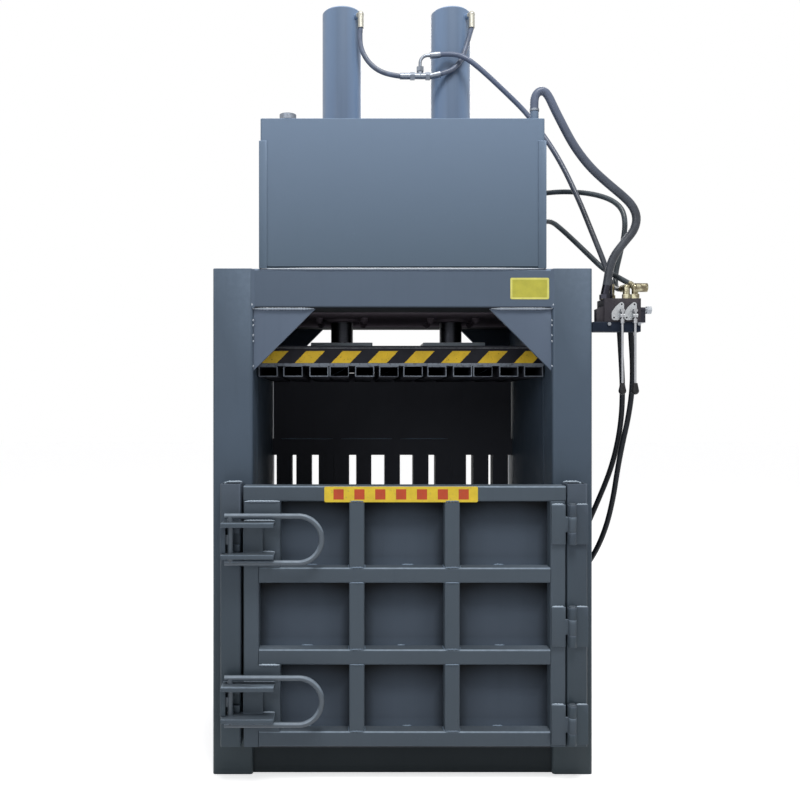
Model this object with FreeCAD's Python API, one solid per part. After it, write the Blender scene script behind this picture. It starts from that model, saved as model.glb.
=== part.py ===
import FreeCAD, Part
import math
import os

# Vertical recycling baler: a welded press frame, a ram on two hydraulic cylinders, a hinged front
# door with two turning latches, an oil tank on the head beam, a hand valve with two levers on an
# arm, and a bale ejector in the rear wall.
# Millimetres. The origin is on the floor, midway between the posts and midway in the frame's depth.
# +X is to the right as seen from the front, -Y is the front and +Z is up.

# Frame
frame_width = 1520.0
frame_depth = 940.0
frame_height = 2026.0
post_size = 160.0
post_wall = 8.0
post_corner = 12.0
gusset_leg = 250.0
gusset_thickness = 16.0
gusset_setback = 14.0
side_sill_height = 120.0

# Floor of the chamber
base_plate_thickness = 16.0
sill_setback = 20.0
sill_depth = 80.0
sill_wall = 8.0
floor_plate_thickness = 16.0
floor_bar_height = 24.0
floor_top = 140.0

# Walls of the chamber
rear_wall_setback = 35.0
strap_bar_width = 76.0
strap_bar_depth = 80.0
strap_bar_wall = 6.0
strap_bar_centres = (0.0, 143.0, 254.0, 331.0, 443.0)
strap_bar_side_gap = 20.5
strap_bar_last_gap = 22.5
cross_beam_bottom = 1231.0
cross_beam_height = 81.0
upper_panel_overlap = 44.0
upper_panel_thickness = 6.0
upper_panel_side_gap = 6.0
upper_panel_flange = 40.0
side_wall_thickness = 12.0
side_rib_width = 90.0
side_rib_depth = 60.0
side_rib_wall = 8.0
side_rib_centres = (-200.0, 0.0, 200.0)
side_rib_end_gap = 100.0

# Cylinder deck between the head beams
deck_thickness = 40.0

# Cylinders
cylinder_spacing = 496.0
barrel_radius = 89.0
barrel_bore_radius = 75.0
barrel_length = 1359.0
barrel_cap_thickness = 35.0
barrel_cap_chamfer = 6.0
cylinder_flange_size = 240.0
cylinder_flange_thickness = 30.0
gland_radius = 86.0
gland_drop = 12.0
gland_spigot_length = 60.0
gland_hole_clearance = 0.5
running_clearance = 0.05
cylinder_bolt_radius = 10.0
cylinder_bolt_offset = 100.0
cylinder_bolt_hole_clearance = 1.0
bolt_head_flats = 30.0
bolt_head_height = 13.0
bolt_nut_height = 16.0
bolt_stud_end = 8.0
port_radius = 13.0
port_angle = 45.0
port_drop = 40.0
port_elbow_reach = 30.0
port_elbow_radius = 15.0
rod_port_height = 20.0

# Ram
rod_radius = 50.0
piston_length = 80.0
piston_top_gap = 10.0
platen_side_gap = 7.0
platen_front_gap = 120.0
platen_rear_gap = 10.0
ram_rest_gap = 111.0
platen_channel_width = 80.0
platen_channel_height = 45.0
platen_channel_wall = 5.0
platen_channel_centres = (50.0, 150.0, 256.0, 340.0, 448.0, 551.0)
platen_bottom_plate = 12.0
platen_top_plate = 8.0
platen_front_height = 64.0
platen_front_thickness = 10.0
platen_side_plate = 12.0
platen_rib_thickness = 12.0
platen_rib_offset = 90.0
rod_flange_size = 272.0
rod_flange_thickness = 30.0

# Door and its jambs
jamb_offset = 37.5
jamb_width = 80.0
jamb_depth = 80.0
jamb_wall = 6.0
jamb_corner = 8.0
jamb_bottom = 143.0
jamb_top = 1170.0
door_hinge_gap = 5.0
door_free_gap = 11.0
door_bottom = 143.0
door_height = 1019.0
door_bar_width = 60.0
door_bar_wall = 5.0
door_bar_corner = 7.0
door_rail_heights = (0.0, 320.0, 640.0)
door_bar_centres = (-184.0, 189.0)
door_panel_thickness = 8.0
door_panel_setback = 58.0
door_liner_depth = 100.0
door_liner_wall = 6.0
door_liner_side_gap = 30.0
door_liner_bottom_gap = 20.0
door_liner_top_gap = 17.0
latch_block_width = 84.0

# Hinges
hinge_heights = (233.0, 614.0, 1013.0)
hinge_length = 154.0
hinge_middle_length = 60.0
hinge_axial_gap = 0.5
knuckle_radius = 15.5
knuckle_face_gap = 0.5
hinge_pin_radius = 8.0
hinge_pin_head_radius = 12.0
hinge_pin_head_height = 6.0
hinge_leaf_thickness = 10.0
hinge_door_leaf_width = 54.0
hinge_leaf_reach_gap = 3.0
hinge_notch_clearance = 2.0
hinge_axis_inset = 16.5

# Latches
latch_heights = (332.0, 958.0)
latch_rod_radius = 11.0
latch_axis_inset = 36.0
latch_axis_standoff = 32.0
latch_leg_spacing = 181.0
latch_arm_stub = 22.0
latch_bend_centre = 263.0
latch_plate_spacing = 105.0
latch_plate_thickness = 16.0
latch_plate_depth = 80.0
latch_plate_left = 31.0
latch_plate_right = 171.0
latch_plate_relief = 1.5
latch_web_width = 77.0
latch_web_thickness = 14.0
cam_reach = 27.0
cam_half_width = 8.0
cam_height = 36.0
cam_clearance = 2.0
keeper_height = 100.0
keeper_wall = 7.0
keeper_tip_gap = 3.0
keeper_lip_reach = 13.0
keeper_lip_thickness = 12.0
keeper_bar_gap = 8.0
keeper_bar_width = 26.0
keeper_bar_depth = 16.0
keeper_notch_height = 44.0

# Oil tank on the head beam
tank_width = 1140.0
tank_barrel_gap = 31.0
tank_height = 600.0
tank_wall = 4.0
tank_edge_radius = 10.0
tank_angle_leg = 32.0
tank_angle_thickness = 5.0
tank_angle_height = 510.0
tank_rail_size = 50.0
tank_rail_wall = 5.0
breather_side_inset = 107.0
breather_inset = 50.0
breather_radius = 34.0
breather_height = 22.0
breather_neck_radius = 20.0
breather_neck_height = 8.0
stub_side_inset = 34.0
stub_inset = 40.0
stub_radius = 17.0
stub_wall = 3.0
stub_height = 40.0

# Pump unit behind the cylinders
motor_axis_inset = 140.0
motor_centre_x = -40.0
motor_radius = 105.0
motor_length = 300.0
motor_fin_count = 28
motor_fin_height = 12.0
motor_fin_thickness = 4.0
motor_plate_width = 760.0
motor_plate_thickness = 12.0
motor_plate_overhang = 60.0
motor_foot_height = 30.0
fan_cover_length = 70.0
fan_cover_wall = 2.5
motor_shaft_radius = 19.0
fan_radius = 88.0
fan_blade_count = 7
fan_thickness = 24.0
bell_length = 110.0
bell_wall = 12.0
pump_radius = 55.0
pump_length = 120.0

# Valve on its arm
valve_arm_size = 40.0
valve_arm_length = 194.0
valve_arm_drop = 214.0
valve_body_left = 48.0
valve_body_width = 146.0
valve_body_depth = 100.0
valve_body_height = 94.0
valve_inlet_width = 29.0
valve_inlet_height = 53.0
valve_inlet_inset = 10.0
valve_inlet_depth = 34.0
lever_positions = (111.5, 162.5)
lever_axis_height = 22.0
lever_axis_standoff = 24.0
lever_arm_ratio_length = 20.0
spool_radius = 8.0
spool_slot_clearance = 0.2
spool_front_reach = 8.0
spool_rear_reach = 4.0
lever_ball_radius = 5.0
lever_horn_radius = 3.0
lever_hub_radius = 8.0
lever_hub_width = 9.0
lever_pin_radius = 4.0
lever_ear_thickness = 4.0
lever_side_gap = 0.5
lever_socket_radius = 8.0
lever_socket_drop = 13.0
lever_socket_length = 30.0
lever_rod_radius = 5.0
lever_rod_length = 256.0
knob_radius = 15.0
knob_neck_radius = 9.0
knob_length = 46.0
knob_grip = 18.0
bracket_flange_width = 49.0
bracket_flange_height = 72.0
bracket_flange_rise = 6.0
bracket_flange_thickness = 8.0
bracket_flange_reach = 12.0
bracket_hole_radius = 3.5
foot_bolt_places = (66.0, 186.0)
foot_bolt_drop = 9.0
foot_bolt_flats = 13.0
foot_bolt_head = 6.0

# Bale ejector in the rear wall
ejector_height = 370.0
ejector_stroke = 500.0
ejector_bore_radius = 30.0
ejector_barrel_radius = 38.0
ejector_rod_radius = 20.0
ejector_piston_length = 40.0
ejector_end_thickness = 25.0
ejector_spare_length = 10.0
ejector_flange_width = 80.0
ejector_flange_height = 180.0
ejector_flange_thickness = 16.0
ejector_hole_clearance = 3.0
pusher_thickness = 20.0
pusher_bottom_gap = 10.0
pusher_height = 410.0
pusher_web_height = 120.0
pusher_wall_gap = 0.3

# Hoses, pipes and their fittings
hose_radius = 11.0
return_hose_radius = 17.0
bend_share = 0.45
ferrule_radius = 14.0
ferrule_length = 45.0
nut_flats = 30.0
nut_length = 20.0
return_nut_flats = 38.0
tee_centre = (100.0, -108.0, 2940.0)
tee_radius = 13.0
tee_half_length = 34.0
tee_branch_height = 92.0
branch_pipe_radius = 7.0
branch_bend_radius = 34.0
suction_pipe_radius = 20.0
suction_pipe_x = 440.0
crossover_pipe_radius = 9.0
return_port_depth = 40.0
valve_port_places = (96.0, 145.0, 180.0)
valve_port_depths = (70.0, 30.0, 30.0)
return_port_place = 61.0
return_port_height = 150.0
elbow_rise = 47.0
plug_radius = 18.0
plug_length = 48.0
ejector_valve_places = (132.0, 178.0)
ejector_valve_depth = 75.0
ejector_nut_length = 24.0

# Routes of the hoses between their fittings, each from its first fitting to its last
cap_left_route = (
    (-168, -82, 3122), (-160, -85, 3066), (-134, -90, 3016), (-95, -95, 2976), (-42, -101, 2950),
)
cap_right_route = (
    (322, -82, 3130), (308, -86, 3082), (291, -92, 3035), (270, -98, 2996), (237, -104, 2964),
)
cap_feed_route = (
    (238, -118, 3037), (300, -136, 3012), (372, -138, 2953), (464, -132, 2870),
    (580, -116, 2766), (690, -180, 2570), (757, -275, 2355), (798, -352, 2180),
    (836, -396, 2046),
)
return_route = (
    (535, -430, 2700), (538, -430, 2729), (554, -430, 2750), (578, -430, 2750),
    (596, -430, 2726), (613, -430, 2688), (640, -430, 2634), (694, -430, 2530),
    (760, -430, 2443), (836, -430, 2374), (897, -430, 2324), (936, -430, 2284),
    (953, -430, 2236), (940, -430, 2185), (900, -430, 2138), (861, -430, 2088),
    (842, -430, 2040), (835, -430, 2000),
)
rod_side_route = (
    (893, -366, 1956), (898, -325, 1976), (905, -305, 2034), (920, -318, 2112),
    (930, -340, 2184),
    (933, -343, 2246), (929, -317, 2300), (903, -283, 2343), (857, -239, 2377),
    (796, -192, 2402), (722, -138, 2420), (640, -90, 2424), (556, -52, 2408),
    (480, -20, 2366), (424, 0, 2300), (390, 6, 2215), (370, 3, 2118),
)
pressure_route = (
    (390, 318, 2268), (462, 286, 2281), (530, 231, 2295), (590, 160, 2306),
    (636, 80, 2312), (664, -5, 2313), (686, -86, 2303), (716, -152, 2252),
    (762, -214, 2181), (812, -272, 2106), (852, -314, 2048), (893, -372, 2006),
)
eject_out_route = (
    (896, -392, 1735), (904, -384, 1645), (914, -367, 1545), (918, -344, 1435),
    (912, -312, 1320), (892, -276, 1200), (856, -238, 1080), (820, -190, 960),
    (798, -110, 850), (790, 0, 770), (788, 120, 718), (788, 240, 680), (788, 350, 640),
    (782, 452, 588), (758, 550, 534), (710, 640, 487), (636, 720, 449), (546, 795, 421),
    (448, 860, 401), (352, 920, 387), (262, 972, 377), (180, 1004, 371),
)
eject_back_route = (
    (942, -392, 1735), (950, -384, 1645), (953, -370, 1540), (942, -354, 1425),
    (920, -342, 1312), (906, -325, 1205), (897, -300, 1090), (880, -268, 970),
    (854, -220, 862), (826, -150, 772), (806, -62, 702), (798, 40, 652), (796, 150, 616),
    (796, 260, 586), (794, 360, 555), (782, 450, 520), (750, 530, 485), (690, 590, 455),
    (610, 625, 432), (515, 640, 415), (415, 625, 402), (320, 592, 392), (240, 550, 383),
    (175, 512, 375),
)

# Places worked out from the sizes above
half_width = frame_width / 2
front_y = -frame_depth / 2
rear_y = frame_depth / 2
chamber_half = half_width - post_size
front_post_back = front_y + post_size
rear_post_front = rear_y - post_size
beam_bottom = frame_height - post_size
rear_wall_back = rear_y - rear_wall_setback
rear_wall_front = rear_wall_back - strap_bar_depth
deck_bottom = beam_bottom
deck_top = beam_bottom + deck_thickness
cylinder_x = cylinder_spacing / 2
barrel_top = deck_top + barrel_length
piston_top = barrel_top - barrel_cap_thickness - piston_top_gap
floor_plate_top = floor_top - floor_bar_height
floor_plate_bottom = floor_plate_top - floor_plate_thickness
platen_half = chamber_half - platen_side_gap
platen_front = front_y + platen_front_gap
platen_back = rear_wall_front - platen_rear_gap
platen_top = deck_bottom - ram_rest_gap - rod_flange_thickness
platen_front_bottom = platen_top - platen_top_plate - platen_front_height
platen_plate_bottom = platen_front_bottom - platen_bottom_plate
platen_bottom = platen_plate_bottom - platen_channel_height
upper_panel_top = platen_bottom + upper_panel_overlap
jamb_inner = chamber_half + jamb_offset
jamb_outer = jamb_inner + jamb_width
door_front = front_y - jamb_depth
door_left = -jamb_inner + door_free_gap
door_right = jamb_inner - door_hinge_gap
door_top = door_bottom + door_height
hinge_x = jamb_inner + hinge_axis_inset
hinge_y = door_front - knuckle_radius - knuckle_face_gap
latch_x = -jamb_inner - latch_axis_inset
latch_y = door_front - latch_axis_standoff
tank_top = frame_height + tank_height
breather_x = -tank_width / 2 + breather_side_inset
breather_y = front_y + breather_inset
stub_x = tank_width / 2 - stub_side_inset
stub_y = front_y + stub_inset
tank_back = -barrel_radius - tank_barrel_gap
motor_axis_y = rear_y - motor_axis_inset
motor_axis_z = frame_height + motor_plate_thickness + motor_foot_height + motor_radius
valve_left = half_width + valve_body_left
valve_right = valve_left + valve_body_width
valve_bottom = frame_height - valve_arm_drop
valve_top = valve_bottom + valve_body_height
lever_y = front_y - lever_axis_standoff
lever_z = valve_bottom + lever_axis_height
spool_z = lever_z + lever_arm_ratio_length
pusher_bottom = floor_top + pusher_bottom_gap
pusher_top = pusher_bottom + pusher_height
pusher_back = rear_wall_front - pusher_wall_gap
ejector_barrel_front = rear_wall_back + ejector_flange_thickness
ejector_barrel_length = (
    2 * ejector_end_thickness + ejector_stroke + ejector_piston_length + ejector_spare_length
)
ejector_barrel_back = ejector_barrel_front + ejector_barrel_length

V = FreeCAD.Vector
UP = V(0, 0, 1)
RIGHT = V(1, 0, 0)
BACK = V(0, 1, 0)


def box(x0, x1, y0, y1, z0, z1):
    """Block between two corners."""
    return Part.makeBox(x1 - x0, y1 - y0, z1 - z0, V(x0, y0, z0))


def rod(radius, start, end):
    """Round bar between two points."""
    start, end = V(*start), V(*end)
    return Part.makeCylinder(radius, (end - start).Length, start, end - start)


def tube(outer, inner, start, end):
    """Round tube between two points."""
    return rod(outer, start, end).cut(rod(inner, start, end))


def ball(radius, centre):
    return Part.makeSphere(radius, V(*centre))


def prism(points, run):
    """Flat outline of 3-D points, pushed along a run."""
    corners = [V(*point) for point in points]
    wire = Part.makePolygon(corners + corners[:1])
    return Part.Face(wire).extrude(V(*run))


def hexagon(flats, start, end):
    """Hexagonal nut or head between two points on its axis."""
    start, end = V(*start), V(*end)
    axis = (end - start).normalize()
    side = axis.cross(UP) if abs(axis.z) < 0.9 else axis.cross(RIGHT)
    side.normalize()
    spin = FreeCAD.Rotation(axis, 60)
    arm = side * (flats / math.sqrt(3))
    corners = []
    for _ in range(6):
        corners.append(start + arm)
        arm = spin.multVec(arm)
    wire = Part.makePolygon(corners + corners[:1])
    return Part.Face(wire).extrude(end - start)


def fuse(shapes):
    """One solid from pieces that are welded or cast together."""
    first, *others = shapes
    return first.multiFuse(others).removeSplitter() if others else first


def group(shapes):
    """Separate solids kept in one sub-part."""
    return Part.makeCompound(shapes)


def mirrored(shape):
    return shape.mirror(V(0, 0, 0), RIGHT)


def rounded(block, radius, axis):
    """Block with its four edges along one axis rounded."""
    run = {"x": RIGHT, "y": BACK, "z": UP}[axis]
    edges = [edge for edge in block.Edges if abs(edge.tangentAt(0).dot(run)) > 0.9]
    return block.makeFillet(radius, edges)


def square_tube(x0, x1, y0, y1, z0, z1, wall, axis, corner=0.0):
    """Rectangular tube, open at both ends along one axis, its outer corners rounded if asked."""
    inset = [0.0 if name == axis else wall for name in "xyz"]
    hollow = box(
        x0 + inset[0], x1 - inset[0], y0 + inset[1], y1 - inset[1], z0 + inset[2], z1 - inset[2]
    )
    outer = box(x0, x1, y0, y1, z0, z1)
    return (rounded(outer, corner, axis) if corner else outer).cut(hollow)


def swept(edges, start, run, radius):
    """Round bar along joined lines and arcs, from a start and its direction there."""
    path = Part.Wire(edges)
    profile = Part.Wire([Part.Circle(start, run, radius).toShape()])
    return path.makePipeShell([profile], True, False)


def bend(before, corner, after):
    """Tangent points, middle point and radius of the arc at one corner of a hose."""
    back, ahead = before - corner, after - corner
    setback = bend_share * min(back.Length, ahead.Length)
    half_turn = (math.pi - back.getAngle(ahead)) / 2
    radius = setback / math.tan(half_turn)
    back.normalize()
    ahead.normalize()
    inward = (back + ahead).normalize()
    middle = corner + inward * (radius / math.cos(half_turn) - radius)
    return corner + back * setback, middle, corner + ahead * setback, radius


def hose(name, points, radius):
    """Hose as straight runs joined by tangent arcs."""
    points = [V(*point) for point in points]
    edges, radii, here = [], [], points[0]
    for before, corner, after in zip(points, points[1:], points[2:]):
        start, middle, end, turn_radius = bend(before, corner, after)
        edges.append(Part.LineSegment(here, start).toShape())
        edges.append(Part.Arc(start, middle, end).toShape())
        radii.append(turn_radius)
        here = end
    edges.append(Part.LineSegment(here, points[-1]).toShape())
    body = swept(edges, points[0], points[1] - points[0], radius)
    length = sum(edge.Length for edge in edges)
    expected = math.pi * radius ** 2 * length
    tightest = [round(value) for value in sorted(radii)[:4]]
    print(
        f"{name}: length {length:.0f}, smallest radii {tightest}, "
        f"volume share {body.Volume / expected:.4f}"
    )
    return body


def save(name, shape):
    shape.exportStep(os.path.join("parts", name + ".step"))


# Frame

def post(x0, y0):
    """Upright square tube, open at the foot and capped at the head."""
    outer = rounded(
        box(x0, x0 + post_size, y0, y0 + post_size, 0, frame_height), post_corner, "z"
    )
    hollow = box(
        x0 + post_wall, x0 + post_size - post_wall,
        y0 + post_wall, y0 + post_size - post_wall,
        0, frame_height - post_wall,
    )
    return outer.cut(hollow)


def head_beam(y0):
    """Beam across the top of two posts."""
    return square_tube(
        -chamber_half, chamber_half, y0, y0 + post_size, beam_bottom, frame_height,
        post_wall, "x", post_corner,
    )


def side_beam():
    """Beam from the front post to the rear post at the right side."""
    return square_tube(
        chamber_half, half_width, front_post_back, rear_post_front,
        beam_bottom, frame_height, post_wall, "y", post_corner,
    )


def corner_gussets():
    """Flat triangles under the head beams: two near the front and two near the rear."""
    plates = []
    for y0 in (front_y + gusset_setback, rear_y - gusset_setback - gusset_thickness):
        outline = [
            (chamber_half, y0, beam_bottom),
            (chamber_half - gusset_leg, y0, beam_bottom),
            (chamber_half, y0, beam_bottom - gusset_leg),
        ]
        plate = prism(outline, (0, gusset_thickness, 0))
        plates += [plate, mirrored(plate)]
    return group(plates)


def base_plate():
    return box(
        -chamber_half, chamber_half, front_y + sill_setback, rear_y, 0, base_plate_thickness
    )


def sill(y0):
    """Tube under the floor plate, across the machine."""
    return square_tube(
        -chamber_half, chamber_half, y0, y0 + sill_depth,
        base_plate_thickness, floor_plate_bottom, sill_wall, "x",
    )


def floor_sills():
    """Rear and middle sills that carry the floor plate with the front sill."""
    front = front_y + sill_setback
    last = rear_wall_front - sill_depth
    middle = (front + last) / 2
    return group([sill(middle), sill(last)])


def floor_plate():
    """Floor plate with bars on it, which leave grooves for the strapping."""
    y0 = front_y + sill_setback
    plate = box(
        -chamber_half, chamber_half, y0, rear_wall_front, floor_plate_bottom, floor_plate_top
    )
    bars = [
        box(x0, x1, y0, rear_wall_front, floor_plate_top, floor_top)
        for x0, x1 in strap_bars(chamber_half)
    ]
    return fuse([plate] + bars)


def both_sides(centres, width, limit):
    """Left and right edges of bars at centres on both sides, cut to a limit at each side."""
    spans = []
    for centre in sorted({-centre for centre in centres} | set(centres)):
        x0 = max(centre - width / 2, -limit)
        x1 = min(centre + width / 2, limit)
        if x1 - x0 > width / 2:
            spans.append((x0, x1))
    return spans


def strap_bars(limit):
    """Left and right edges of the bars that leave gaps for the strapping, within a limit."""
    edge = chamber_half - strap_bar_side_gap
    last = edge - strap_bar_width
    inner = both_sides(strap_bar_centres, strap_bar_width, last - strap_bar_last_gap)
    edge = min(edge, limit)
    return [(-edge, -last)] + inner + [(last, edge)]


def side_wall():
    """Right wall plate with pressed ribs outside and a sill at its foot."""
    outer = chamber_half + side_wall_thickness
    pieces = [
        box(chamber_half, outer, front_post_back, rear_post_front, 0, deck_bottom),
        box(
            outer, outer + side_rib_depth, front_post_back, rear_post_front,
            0, side_sill_height,
        ),
    ]
    for centre in side_rib_centres:
        y0, y1 = centre - side_rib_width / 2, centre + side_rib_width / 2
        top = deck_bottom - side_rib_end_gap
        rib = box(outer, outer + side_rib_depth, y0, y1, side_sill_height, top)
        hollow = box(
            outer, outer + side_rib_depth - side_rib_wall,
            y0 + side_rib_wall, y1 - side_rib_wall, side_sill_height, top,
        )
        pieces.append(rib.cut(hollow))
    return fuse(pieces)


def rear_wall_bars():
    """Upright tubes of the rear wall, with gaps between them for the strapping."""
    bars = []
    hole_radius = ejector_rod_radius + ejector_hole_clearance
    rod_hole = rod(
        hole_radius, (0, rear_wall_front, ejector_height), (0, rear_wall_back, ejector_height)
    )
    for x0, x1 in strap_bars(chamber_half):
        bar = square_tube(
            x0, x1, rear_wall_front, rear_wall_back,
            base_plate_thickness, cross_beam_bottom, strap_bar_wall, "z",
        )
        bars.append(bar.cut(rod_hole) if x0 < 0 < x1 else bar)
    return group(bars)


def rear_cross_beam():
    return square_tube(
        -chamber_half, chamber_half, rear_wall_front, rear_wall_back,
        cross_beam_bottom, cross_beam_bottom + cross_beam_height, strap_bar_wall, "x",
    )


def rear_upper_panel():
    """Folded panel above the cross beam."""
    half = chamber_half - upper_panel_side_gap
    bottom = cross_beam_bottom + cross_beam_height
    y1 = rear_wall_front + upper_panel_thickness
    skin = box(-half, half, rear_wall_front, y1, bottom, upper_panel_top)
    fold = box(
        half - upper_panel_thickness, half, rear_wall_front, rear_wall_front + upper_panel_flange,
        bottom, upper_panel_top,
    )
    top = box(
        -half, half, rear_wall_front, rear_wall_front + upper_panel_flange,
        upper_panel_top - upper_panel_thickness, upper_panel_top,
    )
    return fuse([skin, fold, mirrored(fold), top])


def cylinder_deck():
    """Thick plate between the head and side beams, bored for the glands and flange bolts."""
    plate = box(
        -chamber_half, chamber_half, front_post_back, rear_post_front, deck_bottom, deck_top
    )
    for x in (-cylinder_x, cylinder_x):
        plate = plate.cut(
            rod(gland_radius + gland_hole_clearance, (x, 0, deck_bottom), (x, 0, deck_top))
        )
        plate = plate.cut(group(bolt_holes(x, deck_bottom, deck_top)))
    return plate


# Cylinders

def bolt_places(x):
    """Corners of the square of flange bolts round one cylinder."""
    offset = cylinder_bolt_offset
    return [(x + i * offset, j * offset) for i in (-1, 1) for j in (-1, 1)]


def bolt_holes(x, z0, z1):
    radius = cylinder_bolt_radius + cylinder_bolt_hole_clearance
    return [rod(radius, (px, py, z0), (px, py, z1)) for px, py in bolt_places(x)]


def cylinder_barrel(x):
    """Barrel with a closed, chamfered top, a square flange at its foot and two port bosses."""
    half = cylinder_flange_size / 2
    flange_top = deck_top + cylinder_flange_thickness
    shell = rod(barrel_radius, (x, 0, deck_top), (x, 0, barrel_top))
    rim = [edge for edge in shell.Edges if edge.BoundBox.ZMin > barrel_top - 1]
    shell = shell.makeChamfer(barrel_cap_chamfer, rim)
    flange = box(x - half, x + half, -half, half, deck_top, flange_top)
    bosses = [
        rod(port_radius, (x, 0, port_z), port_end(x, port_z, angle))
        for port_z, angle in (cap_port(), rod_port())
    ]
    body = fuse([shell, flange] + bosses)
    bore = rod(barrel_bore_radius, (x, 0, deck_top), (x, 0, barrel_top - barrel_cap_thickness))
    passage = [
        rod(port_radius / 2, (x, 0, port_z), port_end(x, port_z, angle))
        for port_z, angle in (cap_port(), rod_port())
    ]
    return body.cut(group([bore] + passage + bolt_holes(x, deck_top, flange_top)))


def cap_port():
    """Height and direction of the port at the barrel's closed end."""
    return barrel_top - port_drop, -port_angle


def rod_port():
    """Height and direction of the port at the barrel's rod end."""
    return deck_top + gland_spigot_length + rod_port_height, 0.0


def port_end(x, z, angle, extra=0.0):
    """Outer end of a port boss."""
    reach = barrel_radius + port_elbow_reach / 2 + extra
    turn = math.radians(angle)
    return (x + reach * math.cos(turn), reach * math.sin(turn), z)


def rod_glands():
    """Stepped bushes in the feet of the barrels, which guide the rods."""
    glands = []
    for x in (-cylinder_x, cylinder_x):
        step = rod(gland_radius, (x, 0, deck_bottom - gland_drop), (x, 0, deck_top))
        spigot = rod(barrel_bore_radius, (x, 0, deck_top), (x, 0, deck_top + gland_spigot_length))
        hole = rod(
            rod_radius + running_clearance,
            (x, 0, deck_bottom - gland_drop), (x, 0, deck_top + gland_spigot_length),
        )
        glands.append(fuse([step, spigot]).cut(hole))
    return group(glands)


def cylinder_bolts():
    """Flange bolts with their heads on the flanges and their nuts under the deck."""
    bolts = []
    head_seat = deck_top + cylinder_flange_thickness
    for x in (-cylinder_x, cylinder_x):
        for px, py in bolt_places(x):
            stud = rod(
                cylinder_bolt_radius,
                (px, py, deck_bottom - bolt_nut_height - bolt_stud_end), (px, py, head_seat),
            )
            head = hexagon(
                bolt_head_flats, (px, py, head_seat), (px, py, head_seat + bolt_head_height)
            )
            nut = hexagon(
                bolt_head_flats, (px, py, deck_bottom - bolt_nut_height), (px, py, deck_bottom)
            )
            bolts.append(fuse([stud, head, nut]))
    return group(bolts)


# Ram

def platen_box():
    """Welded box of the ram, open at the front, with ribs under each rod."""
    half = platen_half
    y0, y1 = platen_front, platen_back
    inner_top = platen_top - platen_top_plate
    pieces = [
        box(-half, half, y0, y1, platen_plate_bottom, platen_front_bottom),
        box(-half, half, y0, y1, inner_top, platen_top),
        box(-half, half, y1 - platen_side_plate, y1, platen_front_bottom, inner_top),
    ]
    rib_front = y0 + platen_front_thickness
    side = box(half - platen_side_plate, half, rib_front, y1, platen_front_bottom, inner_top)
    pieces += [side, mirrored(side)]
    for x in (-cylinder_x, cylinder_x):
        for offset in (-platen_rib_offset, platen_rib_offset):
            x0 = x + offset - platen_rib_thickness / 2
            pieces.append(box(
                x0, x0 + platen_rib_thickness, rib_front, y1, platen_front_bottom, inner_top
            ))
    return fuse(pieces)


def platen_front_plate():
    return box(
        -platen_half, platen_half, platen_front, platen_front + platen_front_thickness,
        platen_front_bottom, platen_front_bottom + platen_front_height,
    )


def platen_channels():
    """Tubes under the ram, with gaps between them for the strapping."""
    return group([
        square_tube(
            x0, x1, platen_front, platen_back, platen_bottom, platen_plate_bottom,
            platen_channel_wall, "y",
        )
        for x0, x1 in both_sides(platen_channel_centres, platen_channel_width, platen_half)
    ])


def rod_flanges():
    half = rod_flange_size / 2
    flanges = []
    for x in (-cylinder_x, cylinder_x):
        plate = box(
            x - half, x + half, -half, half, platen_top, platen_top + rod_flange_thickness
        )
        hole = rod(rod_radius, (x, 0, platen_top), (x, 0, platen_top + rod_flange_thickness))
        flanges.append(plate.cut(hole))
    return group(flanges)


def piston_rod(x):
    """Rod with its piston."""
    piston_bottom = piston_top - piston_length
    stem = rod(rod_radius, (x, 0, platen_top), (x, 0, piston_bottom))
    piston = rod(
        barrel_bore_radius - running_clearance, (x, 0, piston_bottom), (x, 0, piston_top)
    )
    return fuse([stem, piston])


# Door

def door_jamb():
    """Right jamb bar on the face of the post."""
    return square_tube(
        jamb_inner, jamb_outer, door_front, front_y, jamb_bottom, jamb_top,
        jamb_wall, "z", jamb_corner,
    )


def door_tube(x0, x1, z0, z1, axis):
    """One tube of the door's frame."""
    return square_tube(
        x0, x1, door_front, front_y, z0, z1, door_bar_wall, axis, door_bar_corner
    )


def door_rail_bottoms():
    """Undersides of the four rails, from the bottom one up."""
    middle = [door_bottom + height for height in door_rail_heights]
    return middle + [door_top - door_bar_width]


def door_rails():
    """Three rails between the stiles, and the top rail over them with its ends closed."""
    *lower, top = door_rail_bottoms()
    rails = [
        door_tube(door_left + door_bar_width, door_right - door_bar_width, z0,
                  z0 + door_bar_width, "x")
        for z0 in lower
    ]
    top_rail = door_tube(door_left, door_right, top, door_top, "x")
    caps = [
        box(
            x0, x0 + door_bar_wall, door_front + door_bar_wall, front_y - door_bar_wall,
            top + door_bar_wall, door_top - door_bar_wall,
        )
        for x0 in (door_left, door_right - door_bar_wall)
    ]
    return group(rails + [fuse([top_rail] + caps)])


def door_stiles():
    """Left and right uprights of the door, under its top rail."""
    top = door_top - door_bar_width
    return [
        door_tube(x0, x0 + door_bar_width, door_bottom, top, "z")
        for x0 in (door_left, door_right - door_bar_width)
    ]


def door_bar_outlines():
    """Left, right, bottom and top of each short upright bar and latch block."""
    bottoms = door_rail_bottoms()
    bays = [(low + door_bar_width, high) for low, high in zip(bottoms, bottoms[1:])]
    outlines = []
    for centre in door_bar_centres:
        x0 = centre - door_bar_width / 2
        outlines += [(x0, x0 + door_bar_width, z0, z1) for z0, z1 in bays]
    x0 = door_left + door_bar_width
    outlines += [(x0, x0 + latch_block_width, z0, z1) for z0, z1 in (bays[0], bays[-1])]
    return outlines


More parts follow.
